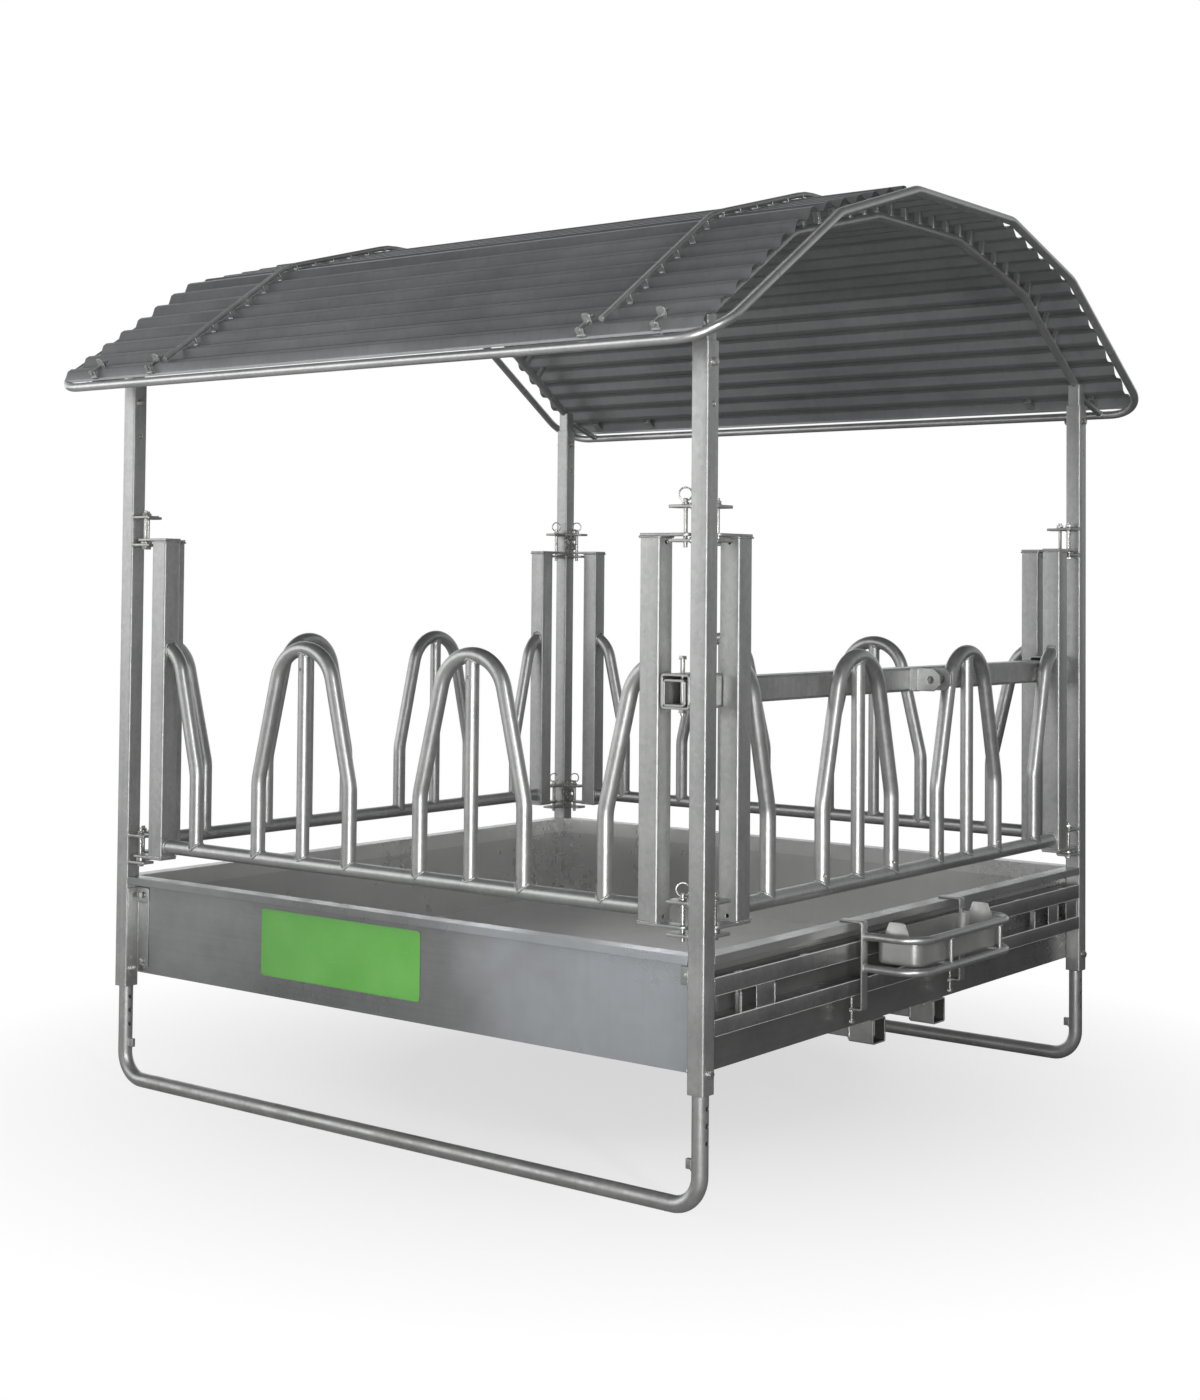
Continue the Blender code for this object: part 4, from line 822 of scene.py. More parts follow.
def foot_bead(shell, x, radius, seed):
    """Weld bead where a round bar stands on the fence rail."""
    path = []
    for angle in full_turn(44):
        y = radius * math.sin(angle)
        rise = math.sqrt(max(TUBE_RADIUS ** 2 - y * y, 0.0))
        path.append((x + (radius + 0.001) * math.cos(angle), -FENCE_DEPTH + y * 1.03,
                     RAIL_HEIGHT + rise + 0.001))
    bead(shell, path, 0.0030, seed)


def crown_bead(shell, center, seed):
    """Weld bead where the middle bar meets the arch."""
    path = []
    for angle in full_turn(40):
        x, y = MIDDLE_BAR * math.cos(angle), MIDDLE_BAR * math.sin(angle)
        reach = ARCH_RADIUS - math.sqrt(TUBE_RADIUS ** 2 - y * y)
        z = ARCH_HEIGHT + math.sqrt(reach ** 2 - x * x)
        path.append((center + x * 1.04, -FENCE_DEPTH + y * 1.04, z - 0.001))
    bead(shell, path, 0.0030, seed)


def vent_hole(shell, x):
    """Drill low into the left of a hoop's leg, just over its weld."""
    z = RAIL_HEIGHT + TUBE_RADIUS + 0.014
    away = Vector((-0.62, -0.78, 0.0))
    middle = Vector((x, -FENCE_DEPTH, z))
    rod(shell, middle + away * (TUBE_RADIUS - 0.006), middle + away * (TUBE_RADIUS + 0.010), 0.0050, 14)


def build_hoop(name, center, quarter, body, seed):
    """Build one hoop with its middle bar, vent holes and weld beads."""
    turn = turned(quarter)
    side, touch = hoop_side(center)
    other = [Vector((2.0 * center - point.x, point.y, point.z)) for point in reversed(side)]
    shell = bmesh.new()
    arch = arch_points(center, touch, math.pi - touch, 28)
    sweep(shell, side[:-1] + arch + other[1:], TUBE_RADIUS, 28)
    hoop = add_piece(name + "_tube", shell, TUBE_ZINC, body, (name,), turn)
    shell = bmesh.new()
    crown = ARCH_HEIGHT + ARCH_RADIUS
    rod(shell, (center, -FENCE_DEPTH, RAIL_HEIGHT), (center, -FENCE_DEPTH, crown), MIDDLE_BAR, 28)
    bar = add_piece(name + "_middle_bar", shell, TUBE_ZINC, body, (), turn)
    vents = bmesh.new()
    vent = -FENCE_DEPTH - MIDDLE_BAR
    rod(vents, (center, vent - 0.01, crown - 0.060), (center, vent + 0.006, crown - 0.060), 0.0042, 14)
    vents.transform(turn)
    carve(bar, vents)
    vents = bmesh.new()
    for leg in (-HOOP_LEG, HOOP_LEG):
        vent_hole(vents, center + leg)
    vents.transform(turn)
    carve(hoop, vents)
    shell = bmesh.new()
    foot_bead(shell, center - HOOP_LEG, TUBE_RADIUS, seed)
    foot_bead(shell, center + HOOP_LEG, TUBE_RADIUS, seed + 1)
    foot_bead(shell, center, MIDDLE_BAR, seed + 2)
    crown_bead(shell, center, seed + 3)
    add_welds(name + "_welds", shell, body, turn)


def plate_outlines(side, latch):
    """End plate of a fence post with its round tongue; a latch tongue is slotted to the inside."""
    near = FENCE_DEPTH - FENCE_POST / 2.0
    far = FENCE_DEPTH + FENCE_POST / 2.0
    tongue = 0.022
    outline = [(FENCE_POST_INNER, -near), (FENCE_POST_INNER, -far), (FENCE_POST_OUTER, -far),
               (FENCE_POST_OUTER + 0.010, -POST_CENTER - tongue)]
    last = math.acos(PIN_HOLE / tongue) if latch else math.pi / 2.0
    for step in range(13):
        angle = -math.pi / 2.0 + (math.pi / 2.0 + last) * step / 12.0
        outline.append((PIN_ALONG + tongue * math.cos(angle), -POST_CENTER + tongue * math.sin(angle)))
    if latch:
        for step in range(11):
            angle = -math.pi * step / 10.0
            outline.append((PIN_ALONG + PIN_HOLE * math.cos(angle),
                            -POST_CENTER + PIN_HOLE * math.sin(angle)))
        outline.append((PIN_ALONG - PIN_HOLE, -POST_CENTER + tongue * math.sin(last)))
    outline += [(FENCE_POST_OUTER + 0.010, -POST_CENTER + tongue), (FENCE_POST_OUTER, -near)]
    outlines = [outline]
    if not latch:
        outlines.append(circle((PIN_ALONG, -POST_CENTER), PIN_HOLE))
    return [[(side * x, y) for x, y in line] for line in outlines]


def build_fence_post(name, side, latch, quarter, body, seed):
    """Build one end post with its plates, its half hoop and their welds."""
    turn = turned(quarter)
    x = side * (FENCE_POST_INNER + FENCE_POST / 2.0)
    height = FENCE_TOP - FENCE_BOTTOM
    shell = bmesh.new()
    box_tube(shell, Matrix.Translation((x, -FENCE_DEPTH, (FENCE_TOP + FENCE_BOTTOM) / 2.0)),
             FENCE_POST, SHEET_WALL, height, 0.0055)
    post = add_piece(name + "_tube", shell, POST_ZINC, body, (name,), turn)
    vents = bmesh.new()
    inner, outer = side * (FENCE_POST_INNER + 0.040), side * (FENCE_POST_OUTER + 0.010)
    for z in (FENCE_BOTTOM + 0.014, FENCE_TOP - 0.014):
        rod(vents, (inner, -FENCE_DEPTH, z), (outer, -FENCE_DEPTH, z), 0.005, 14)
    vents.transform(turn)
    carve(post, vents)

    center = side * 1.5 * HOOP_PITCH
    path, touch = hoop_side(abs(center))
    reach = 1.5 * HOOP_PITCH - FENCE_POST_INNER - 0.002
    path = path[:-1] + arch_points(abs(center), touch, math.acos(-reach / ARCH_RADIUS), 12)
    path = [Vector((side * point.x, point.y, point.z)) for point in path]
    shell = bmesh.new()
    sweep(shell, path, TUBE_RADIUS, 28)
    add_piece(name + "_half_hoop", shell, TUBE_ZINC, body, (), turn)

    shell = bmesh.new()
    for level, away in ((FENCE_BOTTOM, -1.0), (FENCE_TOP, 1.0)):
        place = Matrix.Translation((0.0, 0.0, level + away * FENCE_PLATE / 2.0))
        curve_plate(shell, plate_outlines(side, latch), FENCE_PLATE, place, 0.001)
    add_piece(name + "_plates", shell, POST_ZINC, body, (), turn)

    shell = bmesh.new()
    foot_bead(shell, path[0].x, TUBE_RADIUS, seed)
    for number, (level, away) in enumerate(((FENCE_BOTTOM, 1.0), (FENCE_TOP, -1.0))):
        place = Matrix.Translation((x, -FENCE_DEPTH, level + away * 0.0012))
        loop = loop_points(FENCE_POST + 0.001, FENCE_POST + 0.001, place)
        bead(shell, loop, 0.0026, seed + 2 + number)
    face = side * (FENCE_POST_INNER - 0.001)
    top = path[-1].z
    ring = [(face, -FENCE_DEPTH + TUBE_RADIUS * 1.04 * math.cos(angle),
             top + (TUBE_RADIUS + 0.001) * math.sin(angle) * 1.12) for angle in full_turn(36)]
    bead(shell, ring, 0.0032, seed + 5)
    ring = [(face, -FENCE_DEPTH + TUBE_RADIUS * 1.03 * math.cos(angle),
             RAIL_HEIGHT + TUBE_RADIUS * 1.03 * math.sin(angle)) for angle in full_turn(36)]
    bead(shell, ring, 0.0030, seed + 7)
    add_welds(name + "_welds", shell, body, turn)


def build_fences():
    """Build three gates and the fixed right fence."""
    for number, (name, quarter, body, latch_side) in enumerate(FENCES):
        seed = 100 * number
        for side, place in ((-1, "left"), (1, "right")):
            latch = side == latch_side
            build_fence_post(name + "_post_" + place, side, latch, quarter, body, seed + 30 + side)
            center = side * HOOP_PITCH / 2.0
            build_hoop(name + "_hoop_" + place, center, quarter, body, seed + 60 + 5 * side)
        shell = bmesh.new()
        reach = FENCE_POST_INNER - SEAT_GAP
        sweep(shell, ((-reach, -FENCE_DEPTH, RAIL_HEIGHT), (reach, -FENCE_DEPTH, RAIL_HEIGHT)),
              TUBE_RADIUS, 28, wall=TUBE_WALL)
        rail = name + "_rail"
        add_piece(rail + "_tube", shell, TUBE_ZINC, body, (rail,), turned(quarter))


# ---- corner posts and skids ----------------------------------------------------


# Name, quarter turn, sides that latch, tray strips (side and low end), and the hitch socket's end.
CORNERS = (
    ("corner_post_front_right", 0, (0,), ((0, PAD_LOW),), -1),
    ("corner_post_rear_right", 1, (), ((1, STRIP_LOW),), 1),
    ("corner_post_rear_left", 2, (0, 1), ((0, STRIP_LOW), (1, STRIP_LOW)), 0),
    ("corner_post_front_left", 3, (), ((0, STRIP_LOW), (1, STRIP_LOW)), 0),
)


def build_lugs(name, quarter, latches, seed):
    """Build the hinge and latch lugs of one corner post with their welds."""
    turn = turned(quarter)
    length, width = 0.0715, 0.046
    middle = POST_ROOT - length / 2.0
    plates = bmesh.new()
    welds = bmesh.new()
    for side in (0, 1):
        spin = Matrix.Rotation(-math.pi / 2.0 * side, 4, "Z")
        for number, level in enumerate(LUG_LEVELS):
            x, y = (middle, -POST_CENTER) if side == 0 else (POST_CENTER, -middle)
            place = Matrix.Translation((x, y, level + LUG_PLATE / 2.0)) @ spin
            hole = circle((PIN_ALONG - middle, 0.0), PIN_HOLE if side in latches else 0.0062, 24)
            curve_plate(plates, (rounded_outline(length, width, 0.005), hole), LUG_PLATE, place, 0.001)
            root = place @ Matrix.Translation((length / 2.0 - 0.002, 0.0, 0.0)) @ ALONG_X
            loop = loop_points(width - 0.002, LUG_PLATE + 0.003, root)
            bead(welds, loop, 0.0027, seed + number + 10 * side)
    add_piece(name + "_lug_plates", plates, POST_ZINC, "frame", (), turn)
    add_welds(name + "_lug_welds", welds, "frame", turn)


def build_hinge_bolts(name, quarter, latches):
    """Build the bolts that the hinge ends of the fences hang on."""
    turn = turned(quarter)
    shell = bmesh.new()
    for side in (0, 1):
        if side in latches:
            continue
        x, y = (PIN_ALONG, -POST_CENTER) if side == 0 else (POST_CENTER, -PIN_ALONG)
        for low, high, plate in ((LUG_LEVELS[0], LUG_LEVELS[1], FENCE_BOTTOM - FENCE_PLATE),
                                 (LUG_LEVELS[2], LUG_LEVELS[3], FENCE_TOP)):
            rod(shell, (x, y, low - 0.006), (x, y, high + 0.025), PIN_RADIUS, 20, 0.001)
            rod(shell, (x, y, low + LUG_PLATE), (x, y, plate - 0.0004), 0.0135, 24, 0.0008)
            hex_bolt(shell, (x, y, high + LUG_PLATE), (0, 0, 1), POST_NUT)
            hex_bolt(shell, (x, y, low), (0, 0, -1), HINGE_HEAD)
    if shell.verts:
        add_piece(name + "_hinge_bolts", shell, PLATED, "frame", (), turn)
    else:
        shell.free()


def build_corner_post(name, quarter, latches, strips, socket_side, seed):
    """Build one corner post with lugs, strips, pads and bolts."""
    turn = turned(quarter)
    shell = bmesh.new()
    middle = Matrix.Translation((POST_CENTER, -POST_CENTER, (POST_TOP + POST_BOTTOM) / 2.0))
    box_tube(shell, middle, POST_TUBE, SHEET_WALL, POST_TOP - POST_BOTTOM, 0.005)
    post = add_piece(name + "_tube", shell, POST_ZINC, "frame", (name,), turn)
    corner = TO_ROW.inverted() @ Vector(sum((Vector(c) for c in post.bound_box), Vector()) / 8.0)
    x, y = corner.x, corner.y
    holes = bmesh.new()
    rod(holes, (x - 0.030, y, ROOF_STOP_PIN), (x + 0.030, y, ROOF_STOP_PIN), PIN_HOLE, 16)
    carve(post, holes)
    shell = bmesh.new()
    rod(shell, (x - 0.0235, y, ROOF_STOP_PIN), (x + 0.0235, y, ROOF_STOP_PIN), PIN_RADIUS, 16, 0.001)
    for z in (LOCK_BOLT, POST_HEAD_BOLT):
        hex_bolt(shell, (x + POST_TUBE / 2.0, y, z), (1, 0, 0), POST_HEAD)
        hex_bolt(shell, (x - POST_TUBE / 2.0, y, z), (-1, 0, 0), POST_NUT, 0.006)
    add_piece(name + "_bolts", shell, PLATED, "frame")
    build_lugs(name, quarter, latches, seed)
    build_hinge_bolts(name, quarter, latches)

    strip_depth = TRAY_WALL_OUT + SEAT_GAP + SHEET_WALL / 2.0
    pad_depth = strip_depth + 0.0025
    along = POST_ROOT - STRIP_WIDTH / 2.0
    plates = bmesh.new()
    bolts = bmesh.new()
    for side, low in strips:
        spin = Matrix.Rotation(math.pi / 2.0 * side, 4, "Z")
        flip = 1.0 if side == 0 else -1.0
        middle = (STRIP_TOP + low) / 2.0
        height = STRIP_TOP - low
        block(plates, (flip * along, -strip_depth, middle), (STRIP_WIDTH, SHEET_WALL, height), spin)
        wide = OUTER_FACE - 0.003 - TRAY_WALL_OUT
        inside = flip * (POST_INNER_FACE - 0.0013)
        block(plates, (inside, -TRAY_WALL_OUT - wide / 2.0, middle), (SHEET_WALL, wide, height), spin)
        size = STRIP_TOP - PAD_LOW
        pad = rounded_outline(size, size, 0.003, 3)
        middle = STRIP_TOP - size / 2.0
        place = spin @ Matrix.Translation((flip * (along - 0.0015), -pad_depth, middle)) @ ALONG_Y
        prism(plates, pad, SHEET_WALL, place, 0.0006)
        heights = [(middle, pad_depth + 0.0015)]
        if low < PAD_LOW:
            heights.append((low + 0.016, strip_depth + 0.0015))
        for z, depth in heights:
            base = spin @ Vector((flip * (along - 0.0015), -depth, z))
            hex_bolt(bolts, base, spin.to_3x3() @ Vector((0.0, -1.0, 0.0)), STRIP_HEAD)
    add_piece(name + "_strips", plates, POST_ZINC, "frame", (), turn)
    add_piece(name + "_strip_bolts", bolts, PLATED, "frame", (), turn)

    if socket_side:
        shell = bmesh.new()
        middle = (POST_ROOT - HITCH_SOCKET / 2.0,
                  socket_side * (OUTER_FACE - HITCH_SOCKET_LENGTH / 2.0), HITCH_HEIGHT)
        place = Matrix.Translation(middle) @ ALONG_Y
        box_tube(shell, place, HITCH_SOCKET, 0.006, HITCH_SOCKET_LENGTH, 0.010)
        add_piece(name + "_socket", shell, POST_ZINC, "frame")
        shell = bmesh.new()
        corner = (POST_INNER_FACE - 0.0005, socket_side * (OUTER_FACE - POST_TUBE / 2.0), HITCH_HEIGHT)
        root = Matrix.Translation(corner) @ ALONG_X
        bead(shell, loop_points(0.048, 0.074, root), 0.0032, seed + 50)
        add_welds(name + "_socket_weld", shell, "frame")


def build_skid(name, y, body):
    """Build one bent skid with its row of holes and its stops."""
    corners = ((-POST_CENTER, y, SKID_LEG_TOP), (-POST_CENTER, y, TUBE_RADIUS),
               (POST_CENTER, y, TUBE_RADIUS), (POST_CENTER, y, SKID_LEG_TOP))
    shell = bmesh.new()
    sweep(shell, rounded_path(corners, SKID_BEND, 14), TUBE_RADIUS, 28, wall=TUBE_WALL)
    skid = add_piece(name + "_tube", shell, TUBE_ZINC, body, (name,))
    holes = bmesh.new()
    stops = bmesh.new()
    welds = bmesh.new()
    for side in (-1.0, 1.0):
        x = side * POST_CENTER
        for z in SKID_HOLES:
            rod(holes, (x - 0.030, y, z), (x + 0.030, y, z), 0.0065, 16)
        stop_x = side * (POST_CENTER - TUBE_RADIUS - 0.008)
        stop_z = SKID_STOP_TOP - 0.0125
        block(stops, (stop_x, y, stop_z), (0.020, 0.012, 0.025), UPRIGHT, 0.0012)
        root = Matrix.Translation((side * (POST_CENTER - TUBE_RADIUS), y, stop_z)) @ ALONG_X
        bead(welds, loop_points(0.014, 0.026, root, 0.004), 0.0022, int(stop_x * 100) + 300)
    carve(skid, holes)
    add_piece(name + "_stops", stops, POST_ZINC, body)
    add_welds(name + "_stop_welds", welds, body)


def build_latch_pin(name, body, x, y, low, high, tilt):
    """Build one ringed pin."""
    seat = high + LUG_PLATE + SEAT_GAP
    shell = bmesh.new()
    rod(shell, (x, y, low - 0.013), (x, y, seat + 0.016), PIN_RADIUS, 20, 0.0015)
    rod(shell, (x, y, seat), (x, y, seat + 0.006), 0.010, 24, 0.001)
    ring = []
    loop = 0.0165
    for angle in full_turn(32):
        across = loop * math.cos(angle)
        ring.append((x + across * math.cos(tilt), y + across * math.sin(tilt),
                     seat + 0.026 + loop * math.sin(angle)))
    sweep(shell, ring, 0.0022, 10, closed=True)
    add_piece(name + "_shank", shell, PLATED, body, (name,))


# Gate, place of its pins, and how far their rings are turned.
LATCH_PINS = (
    ("front", PIN_ALONG, -POST_CENTER, 0.65),
    ("rear", -PIN_ALONG, POST_CENTER, 0.9),
    ("left", -POST_CENTER, PIN_ALONG, 0.3),
)


def build_frame():
    """Build the posts, skids and pins."""
    for number, corner in enumerate(CORNERS):
        build_corner_post(*corner, 700 + 60 * number)
    build_skid("skid_front", -POST_CENTER, "front_skid")
    build_skid("skid_rear", POST_CENTER, "rear_skid")
    for gate, x, y, tilt in LATCH_PINS:
        for level, low, high in (("lower", *LUG_LEVELS[:2]), ("upper", *LUG_LEVELS[2:])):
            name = "latch_pin_" + gate + "_" + level
            build_latch_pin(name, gate + "_" + level + "_pin", x, y, low, high, tilt)


# ---- tray, rails, pockets and hitch ---------------------------------------------


def coat_nodes(material, *names):
    """Give solids that stay as they are their finish."""
    for name in names:
        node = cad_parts[name]
        node.data.materials.clear()
        node.data.materials.append(material)


def build_tray_details():
    """Give the tray, hitch bar and bracket their zinc and add the plain green plate."""
    coat_nodes(FRONT_ZINC, "tray_panel_front")
    coat_nodes(TRAY_ZINC, "tray_panel_right", "tray_panel_rear", "tray_panel_left")
    coat_nodes(FLOOR_PAINTED_LIGHT_ZINC, "tray_floor")
    coat_nodes(POST_ZINC, "hitch_bar", "top_link_bracket")
    shell = bmesh.new()
    sign = rounded_outline(*SIGN_SIZE, 0.010, 4)
    place = Matrix.Translation((SIGN_PLACE[0], -TRAY_WALL_OUT - 0.0010, SIGN_PLACE[1])) @ ALONG_Y
    curve_plate(shell, (sign,), 0.0012, place, 0.0003)
    add_piece("front_sign_plate", shell, SIGN_GREEN, "frame")


def build_side_rails():
    """Build the two channels along the right side, the plates between them and thin rods that paint
    highlights on their edges.
    """
    reach = POST_INNER_FACE - SEAT_GAP
    inner, wall = TRAY_WALL_OUT + SEAT_GAP, SHEET_WALL
    gap_low, gap_high = LOWER_RAIL[1], UPPER_RAIL[0]
    welds = bmesh.new()
    edges = bmesh.new()
    for name, (low, high) in (("side_rail_upper", UPPER_RAIL), ("side_rail_lower", LOWER_RAIL)):
        shell = bmesh.new()
        channel = ((inner, low), (RAIL_OUT, low), (RAIL_OUT, high), (inner, high), (inner, high - wall),
                   (RAIL_OUT - wall, high - wall), (RAIL_OUT - wall, low + wall), (inner, low + wall))
        prism(shell, channel, 2.0 * reach, ALONG_Y, 0.0010)
        if name == "side_rail_lower":
            for start, end, inset in RAIL_PLATES:
                deep = 0.015 if end - start < 0.010 else wall
                x = RAIL_OUT - inset - deep / 2.0
                center = (x, (start + end) / 2.0, (gap_low + gap_high) / 2.0)
                block(shell, center, (deep, end - start, gap_high - gap_low + 0.0006), UPRIGHT, 0.0006)
                for y in (start, end):
                    path = [(RAIL_OUT - inset, y, gap_low + 0.0085 * step) for step in range(7)]
                    bead(welds, path, 0.0014, 930 + int(y * 100), closed=False)
        add_piece(name + "_channel", shell, RAIL_ZINC, "frame", (name,))
        # Thin near-white rods along the top and bottom edges paint highlights there.
        for drop in (0.0012, high - low - 0.0012):
            edge = (RAIL_OUT - 0.0010, reach - 0.002, high - drop)
            rod(edges, (edge[0], -edge[1], edge[2]), edge, 0.0017 if drop < 0.01 else 0.0012, 8)
    add_piece("side_rail_painted_highlights", edges, PAINTED_EDGE_HIGHLIGHT, "frame")
    for number in range(7):
        start = -0.96 + number * 0.31
        path = [(RAIL_OUT - 0.003, start + 0.005 * step, UPPER_RAIL[1] + 0.001) for step in range(7)]
        bead(welds, path, 0.0026, 960 + number, closed=False)
    add_welds("side_rail_welds", welds, "frame")


def build_fork_pockets():
    """Build the two square tubes under the floor with wider sleeves at their ends, and dark linings
    inside them that paint their shade.
    """
    size, wall, sleeve, tube = 0.070, 0.004, 0.078, 0.060
    thin, play = 0.0003, 0.0002
    top = TRAY_BOTTOM - SEAT_GAP
    for end, y, seed in POCKET_PLACES:
        shell = bmesh.new()
        welds = bmesh.new()
        # A thin dark lining paints the shade inside the tube and its sleeves.
        shade_lining = bmesh.new()
        middle = Matrix.Translation((0.0, y, top - tube / 2.0)) @ ALONG_X
        box_tube(shell, middle, tube, wall, 2.0 * (POCKET_END - 0.030), 0.005)
        box_tube(shade_lining, middle, tube - 2.0 * wall - play, thin, 2.0 * (POCKET_END - sleeve), 0.002)
        for side in (-1.0, 1.0):
            x = side * (POCKET_END - sleeve / 2.0)
            place = Matrix.Translation((x, y, top - size / 2.0)) @ ALONG_X
            box_tube(shell, place, size, wall, sleeve, 0.006)
            box_tube(shade_lining, place, size - 2.0 * wall - play, thin, sleeve - 0.003, 0.002)
            root = Matrix.Translation((side * (POCKET_END - sleeve), y, top - tube / 2.0)) @ ALONG_X
            bead(welds, loop_points(tube + 0.004, tube + 0.004, root, 0.006), 0.0045, seed + int(side))
            for number, along in enumerate((0.030, 0.050, 0.066)):
                z = top - 0.014 - 0.004 * number
                path = [(side * (POCKET_END - along - 0.003 * step), y - 0.0352, z)
                        for step in range(5)]
                bead(welds, path, 0.0030, seed + 5 + number, closed=False)
        name = "fork_pocket_" + end
        add_piece(name + "_painted_shade", shade_lining, POCKET_PAINTED_SHADE, "frame")
        add_piece(name + "_tube", shell, POST_ZINC, "frame", (name,))
        add_welds(name + "_welds", welds, "frame")


def build_hitch():
    """Build the hitch bolts and the welds of the top link bracket."""
    for side, place in ((-1.0, "front"), (1.0, "rear")):
        x, y = HITCH_BAR_X - 0.010, side * (OUTER_FACE - 0.052)
        top, low = HITCH_HEIGHT + HITCH_SOCKET / 2.0, HITCH_HEIGHT - HITCH_SOCKET / 2.0
        shell = bmesh.new()
        rod(shell, (x, y, low - 0.018), (x, y, top + 0.036), PIN_RADIUS, 18, 0.001)
        hex_bolt(shell, (x, y, top + 0.034), (0, 0, 1), HITCH_HEAD)
        hex_bolt(shell, (x, y, low - 0.0005), (0, 0, -1), HITCH_NUT)
        name = "hitch_bolt_" + place
        add_piece(name + "_shank", shell, PLATED, "frame", (name,))
    welds = bmesh.new()
    face = HITCH_BAR_X + 0.034
    plate = Matrix.Translation((face + 0.001, TOP_LINK_PLACE, HITCH_BAR_Z)) @ ALONG_X
    bead(welds, loop_points(0.132, 0.064, plate), 0.0030, 970)
    for ear_y in TOP_LINK_EARS:
        ear = Matrix.Translation((face + 0.0068, ear_y, HITCH_BAR_Z)) @ ALONG_X
        bead(welds, loop_points(0.010, 0.066, ear, 0.005), 0.0026, 980 + int(ear_y * 1000))
    add_welds("top_link_welds", welds, "frame")


# ---- roof --------------------------------------------------------------------------


def over_ridge(x, half, radius, steps):
    """Line over the roof; the corners of one half are distances from the ridge and heights."""
    front = [(x, -distance, height) for distance, height in half]
    rear = [(x, distance, height) for distance, height in reversed(half)]
    return rounded_path(front + rear, radius, steps)


SHEET_PATH = over_ridge(0.0, (SHEET_EAVE, SHEET_KNEE, SHEET_CROWN), 0.250, 6)
SHEET_LENGTH = sum((b - a).length for a, b in zip(SHEET_PATH, SHEET_PATH[1:]))


def on_roof(reach, lift):
    """Point at a signed distance from the ridge along the crest line, and the roof's normal there."""
    left = SHEET_LENGTH / 2.0 + reach
    for number, (start, end) in enumerate(zip(SHEET_PATH, SHEET_PATH[1:])):
        span = (end - start).length
        if left <= span or number == len(SHEET_PATH) - 2:
            ahead = (end - start) / span
            normal = Vector((0.0, -ahead.z, ahead.y))
            return start + ahead * left + normal * lift, normal
        left -= span


def roof_place(x, point, normal):
    """Place with its Y down the roof's slope and its Z along the roof's normal."""
    ahead = Vector((0.0, normal.z, -normal.y))
    spin = Matrix((Vector((1.0, 0.0, 0.0)), ahead, normal)).transposed().to_4x4()
    return Matrix.Translation((x, point.y, point.z)) @ spin


def corrugation(first, last, lift):
    """Rounded top line of a sheet between two valleys counted from the ridge."""
    wall = RIB_PITCH / 2.0 - RIB_FLAT
    line = []
    for number in range(first, last + 1):
        valley = number * RIB_PITCH
        reaches = [(valley - RIB_FLAT / 2.0, -RIB_DEPTH), (valley + RIB_FLAT / 2.0, -RIB_DEPTH)]
        if number < last:
            crest = valley + RIB_FLAT / 2.0 + wall
            reaches += [(crest, 0.0), (crest + RIB_FLAT, 0.0)]
        line += [on_roof(reach, drop + lift)[0] for reach, drop in reaches]
    if abs(first) == RIBS_TO_EAVE:
        line[0] = on_roof((first + 0.05) * RIB_PITCH, -RIB_DEPTH - EDGE_DROP)[0]
    if abs(last) == RIBS_TO_EAVE:
        line[-1] = on_roof((last - 0.05) * RIB_PITCH, -RIB_DEPTH - EDGE_DROP)[0]
    return rounded_path(line, 0.0055, 3)


def build_roof_sheet(name, first, last, lift):
    """Build one corrugated sheet with its thickness."""
    top = corrugation(first, last, lift)
    shell = bmesh.new()
    count = len(top)
    rows = []
    for x in (-SHEET_HALF_LENGTH, -0.4, 0.4, SHEET_HALF_LENGTH):
        upper = [shell.verts.new((x, point.y, point.z)) for point in top]
        lower = []
        for number, point in enumerate(top):
            ahead = (top[min(number + 1, count - 1)] - top[max(number - 1, 0)]).normalized()
            normal = Vector((0.0, -ahead.z, ahead.y))
            under = (x, point.y - normal.y * ROOF_SHEET, point.z - normal.z * ROOF_SHEET)
            lower.append(shell.verts.new(under))
        rows.append(upper + lower[::-1])
    for first_row, second_row in zip(rows, rows[1:]):
        ring_faces(shell, first_row, second_row)
    for row in (rows[0], rows[-1]):
        for number in range(count - 1):
            below = 2 * count - 1 - number
            shell.faces.new((row[number], row[number + 1], row[below - 1], row[below]))
    add_piece(name + "_ribs", shell, ROOF_ZINC, "roof", (name,), sharp=1.2)


